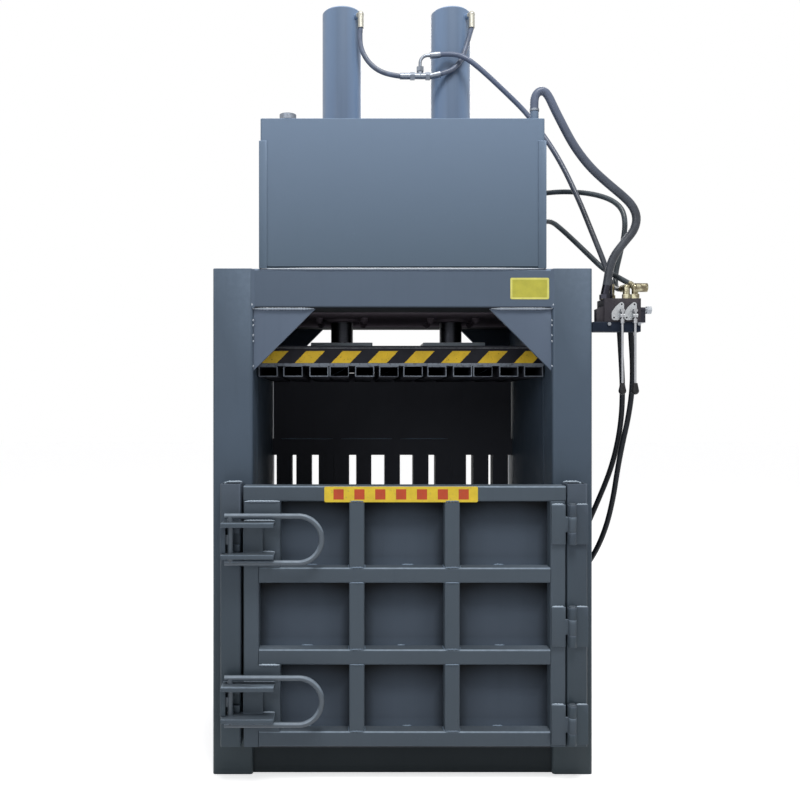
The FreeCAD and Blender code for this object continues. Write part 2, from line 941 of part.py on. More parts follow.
def door_panel():
    """Plate set back between the bars; it shows as the door's recessed bays."""
    y0 = door_front + door_panel_setback
    plate = box(
        door_left + door_bar_width, door_right - door_bar_width,
        y0, y0 + door_panel_thickness, door_bottom + door_bar_width, door_top - door_bar_width,
    )
    rails = [
        box(door_left, door_right, door_front, front_y, z0, z0 + door_bar_width)
        for z0 in door_rail_bottoms()
    ]
    bars = [box(x0, x1, door_front, front_y, z0, z1) for x0, x1, z0, z1 in door_bar_outlines()]
    return plate.cut(group(rails + bars))


def door_liner():
    """Channels on the inside of the door, with gaps between them for the strapping."""
    z0 = door_bottom + door_liner_bottom_gap
    z1 = door_top - door_liner_top_gap
    back = front_y + door_liner_depth
    channels = []
    for x0, x1 in strap_bars(chamber_half - door_liner_side_gap):
        channel = box(x0, x1, front_y, back, z0, z1)
        hollow = box(
            x0 + door_liner_wall, x1 - door_liner_wall, front_y, back - door_liner_wall, z0, z1
        )
        channels.append(channel.cut(hollow))
    return group(channels)


# Hinges

def hinge_frame_leaf(height):
    """Leaf on the jamb with the upper and lower knuckles."""
    z0, z1 = height - hinge_length / 2, height + hinge_length / 2
    gap = hinge_middle_length / 2 + hinge_axial_gap
    plate = box(
        jamb_inner, jamb_outer, door_front - hinge_leaf_thickness, door_front, z0, z1
    )
    notch = box(
        jamb_inner, hinge_x + knuckle_radius + hinge_notch_clearance,
        door_front - hinge_leaf_thickness, door_front, height - gap, height + gap,
    )
    knuckles = [
        rod(knuckle_radius, (hinge_x, hinge_y, low), (hinge_x, hinge_y, high))
        for low, high in ((z0, height - gap), (height + gap, z1))
    ]
    bore = rod(hinge_pin_radius, (hinge_x, hinge_y, z0), (hinge_x, hinge_y, z1))
    return fuse([plate.cut(notch)] + knuckles).cut(bore)


def hinge_door_leaf(height):
    """Leaf on the door with the middle knuckle."""
    z0, z1 = height - hinge_length / 2, height + hinge_length / 2
    low, high = height - hinge_middle_length / 2, height + hinge_middle_length / 2
    right = door_right - hinge_leaf_reach_gap
    plate = box(
        right - hinge_door_leaf_width, right,
        door_front - hinge_leaf_thickness, door_front, z0, z1,
    )
    arm = box(
        right, hinge_x, door_front - hinge_leaf_thickness, door_front - 3 * knuckle_face_gap,
        low, high,
    )
    knuckle = rod(knuckle_radius, (hinge_x, hinge_y, low), (hinge_x, hinge_y, high))
    bore = rod(
        hinge_pin_radius + running_clearance, (hinge_x, hinge_y, low), (hinge_x, hinge_y, high)
    )
    return fuse([plate, arm, knuckle]).cut(bore)


def hinge_pin(height):
    """Pin with a round head on top of the upper knuckle."""
    z0, z1 = height - hinge_length / 2, height + hinge_length / 2
    pin = rod(hinge_pin_radius, (hinge_x, hinge_y, z0), (hinge_x, hinge_y, z1))
    head = rod(
        hinge_pin_head_radius,
        (hinge_x, hinge_y, z1), (hinge_x, hinge_y, z1 + hinge_pin_head_height),
    )
    return fuse([pin, head])


# Latches

def latch_handle(height):
    """Bent-bar handle: a U whose two arms are welded to the shaft with the cam on it."""
    half = latch_leg_spacing / 2
    left, bend_x = latch_x - latch_arm_stub, latch_x + latch_bend_centre
    top, bottom = height + half, height - half

    def at(x, z):
        return V(x, latch_y, z)

    edges = [
        Part.LineSegment(at(left, top), at(bend_x, top)).toShape(),
        Part.Arc(at(bend_x, top), at(bend_x + half, height), at(bend_x, bottom)).toShape(),
        Part.LineSegment(at(bend_x, bottom), at(left, bottom)).toShape(),
    ]
    bar = swept(edges, at(left, top), V(1, 0, 0), latch_rod_radius)
    shaft = rod(latch_rod_radius, at(latch_x, bottom), at(latch_x, top))
    cam = box(
        latch_x - cam_reach, latch_x, latch_y - cam_half_width, latch_y + cam_half_width,
        height - cam_height / 2, height + cam_height / 2,
    )
    return fuse([bar, shaft, cam])


def latch_bracket(height):
    """Two flat plates on the door's latch block, bored for the shaft, with a web between them."""
    left = latch_x - latch_plate_left
    right = latch_x + latch_plate_right
    front = door_front - latch_plate_depth
    relief = door_front - latch_plate_relief
    outline = [
        (left, front), (right, front), (right, door_front), (door_left, door_front),
        (door_left, relief), (left, relief),
    ]
    inner = latch_plate_spacing / 2
    pieces = []
    for z0 in (height + inner, height - inner - latch_plate_thickness):
        points = [(x, y, z0) for x, y in outline]
        plate = prism(points, (0, 0, latch_plate_thickness))
        bore = rod(
            latch_rod_radius + running_clearance,
            (latch_x, latch_y, z0), (latch_x, latch_y, z0 + latch_plate_thickness),
        )
        pieces.append(plate.cut(bore))
    pieces.append(box(
        door_left, door_left + latch_web_width, door_front - latch_web_thickness, door_front,
        height - inner, height + inner,
    ))
    return fuse(pieces)


def latch_keeper(height):
    """Hook and stop bar on the left jamb; the cam turns in behind the hook's lip."""
    z0, z1 = height - keeper_height / 2, height + keeper_height / 2
    tip = latch_x - cam_reach - keeper_tip_gap
    lip_back = latch_y - cam_half_width - cam_clearance
    lip_front = lip_back - keeper_lip_thickness
    hook = fuse([
        box(tip - keeper_wall, tip, lip_front, door_front, z0, z1),
        box(tip - keeper_wall, tip + keeper_lip_reach, lip_front, lip_back, z0, z1),
    ])
    bar_x = latch_x + keeper_bar_gap
    bar = box(
        bar_x, bar_x + keeper_bar_width, door_front - keeper_bar_depth, door_front, z0, z1
    )
    half_notch = keeper_notch_height / 2
    notch = box(
        bar_x, bar_x + keeper_bar_width, door_front - keeper_bar_depth, door_front,
        height - half_notch, height + half_notch,
    )
    return group([hook] + bar.cut(notch).Solids)


# Tank and pump unit

def oil_tank():
    """Welded hollow tank with rounded upright corners and a hole under the return stub."""
    half = tank_width / 2
    body = box(-half, half, front_y, tank_back, frame_height, tank_top)
    uprights = [
        edge for edge in body.Edges
        if abs(edge.Vertexes[0].Z - edge.Vertexes[-1].Z) > tank_height / 2
    ]
    body = body.makeFillet(tank_edge_radius, uprights)
    hollow = box(
        tank_wall - half, half - tank_wall, front_y + tank_wall, tank_back - tank_wall,
        frame_height + tank_wall, tank_top - tank_wall,
    )
    hole = rod(
        stub_radius - stub_wall,
        (stub_x, stub_y, tank_top - 2 * tank_wall), (stub_x, stub_y, tank_top),
    )
    return body.cut(fuse([hollow, hole]))


def tank_corner_angle():
    """Upright angle iron over the tank's front right corner."""
    outer = tank_width / 2 + tank_angle_thickness
    front = front_y - tank_angle_thickness
    top = frame_height + tank_angle_height
    front_leg = box(outer - tank_angle_leg, outer, front, front_y, frame_height, top)
    side_leg = box(
        outer - tank_angle_thickness, outer, front, front + tank_angle_leg, frame_height, top
    )
    return fuse([front_leg, side_leg])


def tank_rail():
    """Rail between the side beams, under the back of the tank."""
    return square_tube(
        -chamber_half, chamber_half, tank_back - tank_rail_size, tank_back,
        frame_height - tank_rail_size, frame_height, tank_rail_wall, "x",
    )


def breather_cap():
    neck_top = tank_top + breather_neck_height
    neck = rod(
        breather_neck_radius, (breather_x, breather_y, tank_top), (breather_x, breather_y, neck_top)
    )
    cap = rod(
        breather_radius,
        (breather_x, breather_y, neck_top), (breather_x, breather_y, neck_top + breather_height),
    )
    return fuse([neck, cap])


def return_stub():
    """Pipe on the tank's lid that the return hose pushes on to."""
    return tube(
        stub_radius, stub_radius - stub_wall,
        (stub_x, stub_y, tank_top), (stub_x, stub_y, tank_top + stub_height),
    )


def motor_plate():
    """Plate on the rear beam that carries the motor."""
    half = motor_plate_width / 2
    return box(
        motor_centre_x - half, motor_centre_x + half,
        rear_post_front - motor_plate_overhang, rear_y,
        frame_height, frame_height + motor_plate_thickness,
    )


def motor_ends():
    """Left and right ends of the motor's housing."""
    return motor_centre_x - motor_length / 2, motor_centre_x + motor_length / 2


def motor_housing():
    """Finned housing on two feet, bored for the shaft."""
    left, right = motor_ends()
    axis = (motor_axis_y, motor_axis_z)
    core_radius = motor_radius - motor_fin_height
    shield = motor_fin_height
    pieces = [
        rod(core_radius, (left, *axis), (right, *axis)),
        rod(motor_radius, (left, *axis), (left + shield, *axis)),
        rod(motor_radius, (right - shield, *axis), (right, *axis)),
    ]
    for index in range(motor_fin_count):
        fin = box(
            left + motor_fin_height, right - motor_fin_height,
            motor_axis_y - motor_fin_thickness / 2, motor_axis_y + motor_fin_thickness / 2,
            motor_axis_z + core_radius / 2, motor_axis_z + motor_radius,
        )
        fin.rotate(V(0, *axis), RIGHT, 360.0 * index / motor_fin_count)
        pieces.append(fin)
    for side in (-1, 1):
        y0 = motor_axis_y + side * core_radius / 2 - motor_foot_height / 2
        pieces.append(box(
            left + motor_foot_height, right - motor_foot_height, y0, y0 + motor_foot_height,
            frame_height + motor_plate_thickness, motor_axis_z - core_radius / 2,
        ))
    shaft_hole = rod(motor_shaft_radius + running_clearance, (left, *axis), (right, *axis))
    return fuse(pieces).cut(shaft_hole)


def fan_cover():
    """Pressed cover over the fan, with slots in its end."""
    left = motor_ends()[0]
    axis = (motor_axis_y, motor_axis_z)
    outer = tube(
        motor_radius, motor_radius - fan_cover_wall, (left - fan_cover_length, *axis), (left, *axis)
    )
    end = rod(
        motor_radius,
        (left - fan_cover_length, *axis), (left - fan_cover_length + fan_cover_wall, *axis),
    )
    slots = []
    slot_width = motor_fin_height
    for index in range(8):
        slot = box(
            left - fan_cover_length, left - fan_cover_length + fan_cover_wall,
            motor_axis_y - slot_width / 2, motor_axis_y + slot_width / 2,
            motor_axis_z + 2 * slot_width, motor_axis_z + motor_radius - 2 * slot_width,
        )
        slot.rotate(V(0, *axis), RIGHT, 45.0 * index)
        slots.append(slot)
    return fuse([outer, end.cut(group(slots))])


def motor_rotor():
    """Shaft with the cooling fan at one end and the coupling half at the other."""
    left, right = motor_ends()
    axis = (motor_axis_y, motor_axis_z)
    fan_left = left - fan_cover_length / 2 - fan_thickness / 2
    pieces = [
        rod(motor_shaft_radius, (fan_left, *axis), (right + bell_length / 2, *axis)),
        rod(2 * motor_shaft_radius, (fan_left, *axis), (fan_left + fan_thickness, *axis)),
        rod(
            2 * motor_shaft_radius,
            (right + bell_length / 4, *axis), (right + bell_length / 2, *axis),
        ),
    ]
    for index in range(fan_blade_count):
        blade = box(
            fan_left, fan_left + fan_thickness,
            motor_axis_y - motor_fin_thickness / 2, motor_axis_y + motor_fin_thickness / 2,
            motor_axis_z + motor_shaft_radius, motor_axis_z + fan_radius,
        )
        blade.rotate(V(0, *axis), RIGHT, 360.0 * index / fan_blade_count)
        pieces.append(blade)
    return fuse(pieces)


def pump():
    """Bell housing and pump on the motor's drive end."""
    right = motor_ends()[1]
    axis = (motor_axis_y, motor_axis_z)
    bell_end = right + bell_length
    bell = rod(motor_radius - motor_fin_height, (right, *axis), (bell_end, *axis))
    hollow = rod(
        motor_radius - motor_fin_height - bell_wall, (right, *axis), (bell_end - bell_wall, *axis)
    )
    body = rod(pump_radius, (bell_end, *axis), (bell_end + pump_length, *axis))
    outlet = rod(
        port_radius,
        (bell_end + pump_length / 2, *axis), pump_outlet(),
    )
    return fuse([bell.cut(hollow), body, outlet])


def pump_outlet():
    """Mouth of the pump's pressure port, on top of the pump."""
    x = motor_ends()[1] + bell_length + pump_length / 2
    return (x, motor_axis_y, motor_axis_z + pump_radius + port_elbow_reach)


# Valve

def valve_arm():
    """Square tube that stands out from the right front post."""
    return square_tube(
        half_width, half_width + valve_arm_length, front_y, front_y + valve_arm_size,
        valve_bottom - valve_arm_size, valve_bottom, sill_wall / 2, "x",
    )


def valve_body():
    """Cast body with an inlet block at its left end and a bore for each spool."""
    y0, y1 = front_y, front_y + valve_body_depth
    block = box(valve_left, valve_right, y0, y1, valve_bottom, valve_top)
    x0, x1 = valve_left - valve_inlet_width, valve_left
    inlet_top = valve_bottom + valve_inlet_height
    slope = valve_inlet_inset
    outline = [
        (x0, y0 + slope, valve_bottom), (x1, y0 + slope, valve_bottom),
        (x1, y0 + slope, inlet_top + slope), (x0, y0 + slope, inlet_top),
    ]
    inlet = prism(outline, (0, valve_inlet_depth, 0))
    body = fuse([block, inlet])
    for x in spool_places():
        body = body.cut(rod(spool_radius + running_clearance, (x, y0, spool_z), (x, y1, spool_z)))
    return body


def spool_places():
    """Places of the two spools and their levers along X."""
    return [half_width + place for place in lever_positions]


def spool(x):
    """Spool with a slot across its front end for the lever's ball."""
    front = lever_y - spool_front_reach
    back = front_y + valve_body_depth + spool_rear_reach
    bar = rod(spool_radius, (x, front, spool_z), (x, back, spool_z))
    half_slot = lever_ball_radius + spool_slot_clearance
    slot = box(
        x - spool_radius, x + spool_radius, lever_y - half_slot, lever_y + half_slot,
        spool_z - spool_radius, spool_z + half_slot,
    )
    return bar.cut(slot)


def lever_bracket(x):
    """Cast flange on the valve's face with two ears for the lever's pin."""
    right = x + bracket_flange_reach
    left = right - bracket_flange_width
    z0 = valve_bottom + bracket_flange_rise
    z1 = z0 + bracket_flange_height
    y0 = front_y - bracket_flange_thickness
    outline = [
        (left, y0, z0 + 9), (left + 3, y0, z0 + 3), (left + 9, y0, z0), (left + 25, y0, z0),
        (right, y0, z0 + 12), (right, y0, z1 - 8), (right - 3, y0, z1 - 3), (right - 9, y0, z1),
        (right - 15, y0, z1 - 2), (right - 34, y0, z1 - 19), (left + 3, y0, z0 + 36),
        (left, y0, z0 + 26),
    ]
    flange = prism(outline, (0, bracket_flange_thickness, 0))
    for hole_x, hole_z in ((right - 9, z1 - 9), (left + 9, z0 + 10)):
        flange = flange.cut(rod(
            bracket_hole_radius, (hole_x, y0, hole_z), (hole_x, front_y, hole_z)
        ))
    ears = []
    inner = lever_hub_width / 2 + lever_side_gap
    for ear_x in (x - inner - lever_ear_thickness, x + inner):
        plate = box(
            ear_x, ear_x + lever_ear_thickness, lever_y, y0,
            lever_z - lever_hub_radius, lever_z + lever_hub_radius,
        )
        nose = rod(
            lever_hub_radius, (ear_x, lever_y, lever_z),
            (ear_x + lever_ear_thickness, lever_y, lever_z),
        )
        ears += [plate, nose]
    body = fuse([flange] + ears)
    pin_hole = rod(
        lever_pin_radius + running_clearance,
        (x - bracket_flange_width, lever_y, lever_z), (x + bracket_flange_width, lever_y, lever_z),
    )
    spool_hole = rod(
        spool_radius + spool_slot_clearance, (x, y0, spool_z), (x, front_y, spool_z)
    )
    lever_slot = box(
        x - inner, x + inner, y0, front_y, z0, lever_z + lever_hub_radius
    )
    return body.cut(group([pin_hole, spool_hole])).cut(lever_slot)


def lever(x):
    """Hand lever: pin, hub, horn with its ball, socket and long rod."""
    half = lever_hub_width / 2
    reach = half + lever_side_gap + lever_ear_thickness
    socket_top = lever_z - lever_socket_drop
    socket_end = lever_z - lever_socket_length
    return fuse([
        rod(lever_pin_radius, (x - reach, lever_y, lever_z), (x + reach, lever_y, lever_z)),
        rod(lever_hub_radius, (x - half, lever_y, lever_z), (x + half, lever_y, lever_z)),
        rod(lever_horn_radius, (x, lever_y, lever_z), (x, lever_y, spool_z)),
        ball(lever_ball_radius, (x, lever_y, spool_z)),
        rod(lever_rod_radius - 1, (x, lever_y, lever_z), (x, lever_y, socket_top)),
        rod(lever_socket_radius, (x, lever_y, socket_top), (x, lever_y, socket_end)),
        rod(lever_rod_radius, (x, lever_y, socket_end), (x, lever_y, lever_rod_end())),
    ])


def lever_rod_end():
    return lever_z - lever_socket_length - lever_rod_length


def knob(x):
    """Tapered grip with a rounded end."""
    top = lever_rod_end() + knob_grip
    belly = top - knob_length + knob_radius
    taper = Part.makeCone(
        knob_radius, knob_neck_radius, top - belly, V(x, lever_y, belly), UP
    )
    grip = fuse([taper, ball(knob_radius, (x, lever_y, belly))])
    return grip.cut(rod(lever_rod_radius, (x, lever_y, lever_rod_end()), (x, lever_y, top)))


def relief_valve():
    """Adjustable relief cartridge at the valve's right end."""
    x, y = valve_right, front_y + valve_body_depth / 2
    body_z = valve_bottom + 20
    return fuse([
        box(x, x + 30, y - 16, y + 16, valve_bottom, valve_bottom + 46),
        rod(12, (x, y, body_z + 32), (x + 38, y, body_z + 32)),
        hexagon(29, (x + 38, y, body_z + 32), (x + 57, y, body_z + 32)),
    ])


# Hoses and pipes

def elbow_centre(x, port):
    """Middle of the elbow on one barrel port."""
    z, angle = port
    return port_end(x, z, angle, port_elbow_reach / 2)


def barrel_elbow(x, port, direction):
    """Elbow on a barrel port with a crimped sleeve that points up or down."""
    z, angle = port
    centre = elbow_centre(x, port)
    end = sleeve_end(x, port, direction)
    return fuse([
        rod(port_radius, port_end(x, z, angle), centre),
        ball(port_elbow_radius, centre),
        rod(ferrule_radius, centre, end),
    ])


def sleeve_end(x, port, direction):
    """Where the hose meets the sleeve of a barrel elbow."""
    cx, cy, cz = elbow_centre(x, port)
    return (cx, cy, cz + direction * (port_elbow_radius + ferrule_length))


def tee_ends():
    """Where the two cap hoses and the feed hose meet the tee's sleeves."""
    x, y, z = tee_centre
    reach = tee_half_length + nut_length / 2 + ferrule_length
    top = z + tee_branch_height
    return (x - reach, y, z), (x + reach, y, z + 10), (x + reach, y, top + 4)


def tee():
    """Tee with three nuts and crimped sleeves; its branch turns to the right."""
    x, y, z = tee_centre
    left_end, right_end, feed_end = tee_ends()
    inner = tee_half_length + nut_length / 2
    top = z + tee_branch_height
    turn = branch_bend_radius
    inset = turn * (1 - math.sqrt(0.5))
    low, middle, high = V(x, y, top - turn), V(x + inset, y, top - inset), V(x + turn, y, top)
    branch = [
        Part.LineSegment(V(x, y, z), low).toShape(),
        Part.Arc(low, middle, high).toShape(),
        Part.LineSegment(high, V(x + inner, y, top)).toShape(),
    ]
    return fuse([
        rod(tee_radius, (x - tee_half_length, y, z), (x + tee_half_length, y, z)),
        hexagon(nut_flats, (x - inner, y, z), (x - tee_half_length + nut_length / 2, y, z)),
        hexagon(nut_flats, (x + tee_half_length - nut_length / 2, y, z), (x + inner, y, z)),
        rod(ferrule_radius, (x - inner, y, z), left_end),
        rod(ferrule_radius, (x + inner, y, z), right_end),
        rod(tee_radius, (x, y, z), (x, y, z + nut_length)),
        hexagon(nut_flats, (x, y, z + nut_length), (x, y, z + 2 * nut_length)),
        swept(branch, V(x, y, z), UP, branch_pipe_radius),
        rod(ferrule_radius, (x + inner, y, top), feed_end),
    ])


def ejector_sleeve_end(y):
    x, y, z = ejector_port(y)
    return (x + ferrule_length, y, z)


def pump_elbow_end():
    x, y, z = pump_outlet()
    return (x + ferrule_length + port_elbow_radius, y - 3, z + port_elbow_radius)


def pump_elbow():
    x, y, z = pump_outlet()
    centre = (x, y, z + port_elbow_radius)
    return fuse([
        rod(port_radius, (x, y, z), centre),
        ball(port_elbow_radius, centre),
        rod(ferrule_radius, centre, pump_elbow_end()),
    ])


def hose_fittings():
    """Elbows, tee and crimped sleeves away from the valve."""
    pieces = [barrel_elbow(x, cap_port(), -1) for x in (-cylinder_x, cylinder_x)]
    pieces += [barrel_elbow(cylinder_x, rod_port(), 1), tee(), pump_elbow()]
    for y in ejector_port_places():
        pieces.append(rod(ferrule_radius, ejector_port(y), ejector_sleeve_end(y)))
    return group(pieces)


def oil_pipes():
    """Rigid pipes: one joins the barrels' rod ends, one feeds the pump from the tank."""
    z = rod_port()[0]
    crossover = rod(
        crossover_pipe_radius,
        port_end(-cylinder_x, *rod_port()), (cylinder_x - barrel_radius, 0, z),
    )
    pump_end = motor_ends()[1] + bell_length + pump_length
    corner = (suction_pipe_x, motor_axis_y, motor_axis_z)
    suction = fuse([
        rod(suction_pipe_radius, (pump_end, motor_axis_y, motor_axis_z), corner),
        ball(suction_pipe_radius, corner),
        rod(suction_pipe_radius, corner, (suction_pipe_x, tank_back, motor_axis_z)),
    ])
    return group([crossover, suction])


def valve_port(index, rise):
    """Point over one of the ports in the valve's top."""
    x = half_width + valve_port_places[index]
    return (x, front_y + valve_port_depths[index], valve_top + rise)


def cap_feed_end():
    """Top of the upright sleeve on the valve's first port."""
    return valve_port(0, nut_length + ferrule_length)


def rod_side_end():
    """Mouth of the elbow on the valve's second port, which points back."""
    x, y, z = valve_port(1, elbow_rise)
    return (x - 8, y + 34, z)


def elbow_top():
    """Middle of the pressure elbow on the valve's last port."""
    return valve_port(2, elbow_rise)


def pressure_end():
    """Mouth of the pressure elbow, which leans back to the left."""
    x, y, z = elbow_top()
    return (x - 14, y + 22, z + 19)


def return_end():
    x, y = half_width + return_port_place + 8, front_y + return_port_depth
    return (x, y, valve_bottom + return_port_height)


def ejector_valve_end(index):
    return (
        half_width + ejector_valve_places[index], front_y + ejector_valve_depth,
        valve_bottom - ejector_nut_length,
    )


def valve_fittings():
    """Nuts, sleeves, elbows and plug on the valve, its relief cartridge and its foot bolts."""
    pieces = []
    x, y, top = cap_feed_end()
    pieces.append(fuse([
        hexagon(nut_flats, (x, y, valve_top), (x, y, valve_top + nut_length)),
        rod(ferrule_radius, (x, y, valve_top + nut_length), (x, y, top)),
    ]))
    x, y, z = valve_port(1, elbow_rise)
    pieces.append(fuse([
        hexagon(nut_flats, (x, y, valve_top), (x, y, valve_top + nut_length)),
        rod(ferrule_radius, (x, y, valve_top + nut_length), (x, y, z)),
        ball(ferrule_radius, (x, y, z)),
        rod(ferrule_radius, (x, y, z), rod_side_end()),
    ]))
    x, y, z = elbow_top()
    pieces.append(fuse([
        hexagon(nut_flats, (x, y, valve_top), (x, y, valve_top + nut_length)),
        rod(port_radius, (x, y, valve_top + nut_length), (x, y, z)),
        ball(port_elbow_radius, (x, y, z)),
        rod(port_radius, (x, y, z), pressure_end()),
        rod(plug_radius, (x, y, z), (x + plug_length, y, z)),
    ]))
    x, y = half_width + return_port_place, front_y + return_port_depth
    pieces.append(fuse([
        hexagon(return_nut_flats, (x, y, valve_top), (x, y, valve_top + nut_length)),
        rod(return_hose_radius, (x, y, valve_top + nut_length), return_end()),
    ]))
    for index in (0, 1):
        x, y, low = ejector_valve_end(index)
        pieces.append(hexagon(nut_flats, (x, y, low), (x, y, valve_bottom)))
    z = valve_bottom - foot_bolt_drop
    for place in foot_bolt_places:
        x = half_width + place
        pieces.append(
            hexagon(foot_bolt_flats, (x, front_y - foot_bolt_head, z), (x, front_y, z))
        )
    return group(pieces + [relief_valve()])


def save_hoses():
    """One sub-part for each hose."""
    left_end, right_end, feed_end = tee_ends()
    rod_end_port, cap_end_port = ejector_port_places()
    stub_top = (stub_x, stub_y, tank_top + stub_height)
    routes = {
        "hose_cap_left": (sleeve_end(-cylinder_x, cap_port(), -1), cap_left_route, left_end),
        "hose_cap_right": (sleeve_end(cylinder_x, cap_port(), -1), cap_right_route, right_end),
        "hose_cap_feed": (feed_end, cap_feed_route, cap_feed_end()),
        "hose_rod_side": (
            rod_side_end(), rod_side_route, sleeve_end(cylinder_x, rod_port(), 1)
        ),
        "hose_pressure": (pump_elbow_end(), pressure_route, pressure_end()),
        "hose_eject_out": (
            ejector_valve_end(0), eject_out_route, ejector_sleeve_end(cap_end_port)
        ),
        "hose_eject_back": (
            ejector_valve_end(1), eject_back_route, ejector_sleeve_end(rod_end_port)
        ),
    }
    for name, (start, route, end) in routes.items():
        save(name, hose(name, [start, *route, end], hose_radius))
    route = [stub_top, *return_route, return_end()]
    save("hose_return", hose("hose_return", route, return_hose_radius))


# Ejector

def ejector_barrel():
    """Ejector cylinder with its flange on the rear wall and two port bosses."""
    z = ejector_height
    flange = box(
        -ejector_flange_width / 2, ejector_flange_width / 2, rear_wall_back, ejector_barrel_front,
        z - ejector_flange_height / 2, z + ejector_flange_height / 2,
    )
    barrel = rod(
        ejector_barrel_radius, (0, ejector_barrel_front, z), (0, ejector_barrel_back, z)
    )
    bosses = [rod(port_radius, (0, y, z), ejector_port(y)) for y in ejector_port_places()]
    bore = rod(
        ejector_bore_radius,
        (0, ejector_barrel_front + ejector_end_thickness, z),
        (0, ejector_barrel_back - ejector_end_thickness, z),
    )
    rod_hole = rod(
        ejector_rod_radius + running_clearance,
        (0, rear_wall_back, z), (0, ejector_barrel_front + ejector_end_thickness, z),
    )
    return fuse([flange, barrel] + bosses).cut(group([bore, rod_hole]))


def ejector_port_places():
    """Places of the rod-end and cap-end ports along Y."""
    inset = ejector_end_thickness + port_radius
    return ejector_barrel_front + inset, ejector_barrel_back - inset


def ejector_port(y):
    return (ejector_barrel_radius + port_elbow_reach, y, ejector_height)


def ejector_rod():
    """Rod with its piston near the barrel's rear end."""
    z = ejector_height
    piston_back = ejector_barrel_back - ejector_end_thickness - ejector_spare_length / 2
    piston_front = piston_back - ejector_piston_length
    return fuse([
        rod(ejector_rod_radius, (0, pusher_back, z), (0, piston_front, z)),
        rod(
            ejector_bore_radius - running_clearance, (0, piston_front, z), (0, piston_back, z)
        ),
    ])


def pusher_plate():
    """Plate in front of the rear wall, notched where the strapping passes."""
    half = strap_bar_centres[1] + strap_bar_width / 2
    y0 = pusher_back - pusher_thickness
    plate = box(-half, half, y0, pusher_back, pusher_bottom, pusher_top)
    gap_start = strap_bar_centres[0] + strap_bar_width / 2
    gap_end = strap_bar_centres[1] - strap_bar_width / 2
    web_low = ejector_height - pusher_web_height / 2
    web_high = ejector_height + pusher_web_height / 2
    for z0, z1 in ((pusher_bottom, web_low), (web_high, pusher_top)):
        notch = box(gap_start, gap_end, y0, pusher_back, z0, z1)
        plate = plate.cut(notch).cut(mirrored(notch))
    return plate


def rear_wall():
    """Slotted rear wall: bars, cross beam and the panel above it."""
    return group(rear_wall_bars().Solids + [rear_cross_beam(), rear_upper_panel()])


def base_frame():
    """Base plate and the sills that carry the floor."""
    return group([base_plate(), sill(front_y + sill_setback)] + floor_sills().Solids)


def tie_beams():
    """Side beams, the rail under the tank and the motor's plate."""
    return group([mirrored(side_beam()), side_beam(), tank_rail(), motor_plate()])


def door_uprights():
    """Stiles, short bars and latch blocks of the door."""
    bars = [door_tube(x0, x1, z0, z1, "z") for x0, x1, z0, z1 in door_bar_outlines()]
    return group(door_stiles() + bars)


def main():
    os.makedirs("parts", exist_ok=True)
    sub_parts = {
        "base_frame": base_frame(),
        "floor_plate": floor_plate(),
        "front_posts": group([post(-half_width, front_y), post(chamber_half, front_y)]),
        "rear_posts": group([
            post(-half_width, rear_post_front), post(chamber_half, rear_post_front)
        ]),
        "head_beams": group([head_beam(front_y), head_beam(rear_post_front)]),
        "tie_beams": tie_beams(),
        "corner_gussets": corner_gussets(),
        "side_walls": group([mirrored(side_wall()), side_wall()]),
        "rear_wall": rear_wall(),
        "cylinder_deck": cylinder_deck(),
        "cylinder_barrels": group([cylinder_barrel(-cylinder_x), cylinder_barrel(cylinder_x)]),
        "rod_glands": rod_glands(),
        "cylinder_bolts": cylinder_bolts(),
        "platen_box": platen_box(),
        "platen_front_plate": platen_front_plate(),
        "platen_channels": platen_channels(),
        "rod_flanges": rod_flanges(),
        "piston_rods": group([piston_rod(-cylinder_x), piston_rod(cylinder_x)]),
        "door_jambs": group([mirrored(door_jamb()), door_jamb()]),
        "door_uprights": door_uprights(),
        "door_rails": door_rails(),
        "door_panel": door_panel(),
        "door_liner": door_liner(),
        "hinge_leaves_frame": group([hinge_frame_leaf(height) for height in hinge_heights]),
        "hinge_leaves_door": group([hinge_door_leaf(height) for height in hinge_heights]),
        "hinge_pins": group([hinge_pin(height) for height in hinge_heights]),
        "latch_keepers": group([
            piece for height in latch_heights for piece in latch_keeper(height).Solids
        ]),
        "latch_brackets": group([latch_bracket(height) for height in latch_heights]),
        "latch_handle_lower": latch_handle(latch_heights[0]),
        "latch_handle_upper": latch_handle(latch_heights[1]),
        "oil_tank": oil_tank(),
        "tank_corner_angles": group([mirrored(tank_corner_angle()), tank_corner_angle()]),
        "breather_cap": breather_cap(),
        "return_stub": return_stub(),
        "motor_housing": motor_housing(),
        "fan_cover": fan_cover(),
        "motor_rotor": motor_rotor(),
        "pump": pump(),
        "oil_pipes": oil_pipes(),
        "valve_arm": valve_arm(),
        "valve_body": valve_body(),
        "valve_fittings": valve_fittings(),
        "lever_brackets": group([lever_bracket(x) for x in spool_places()]),
        "hose_fittings": hose_fittings(),
        "ejector_barrel": ejector_barrel(),
        "ejector_ram": group([ejector_rod(), pusher_plate()]),
    }
    for number, x in enumerate(spool_places(), 1):
        sub_parts[f"spool_{number}"] = spool(x)
        sub_parts[f"lever_{number}"] = lever(x)
        sub_parts[f"knob_{number}"] = knob(x)
    for name, shape in sub_parts.items():
        save(name, shape)
    save_hoses()


main()
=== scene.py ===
import math
import random

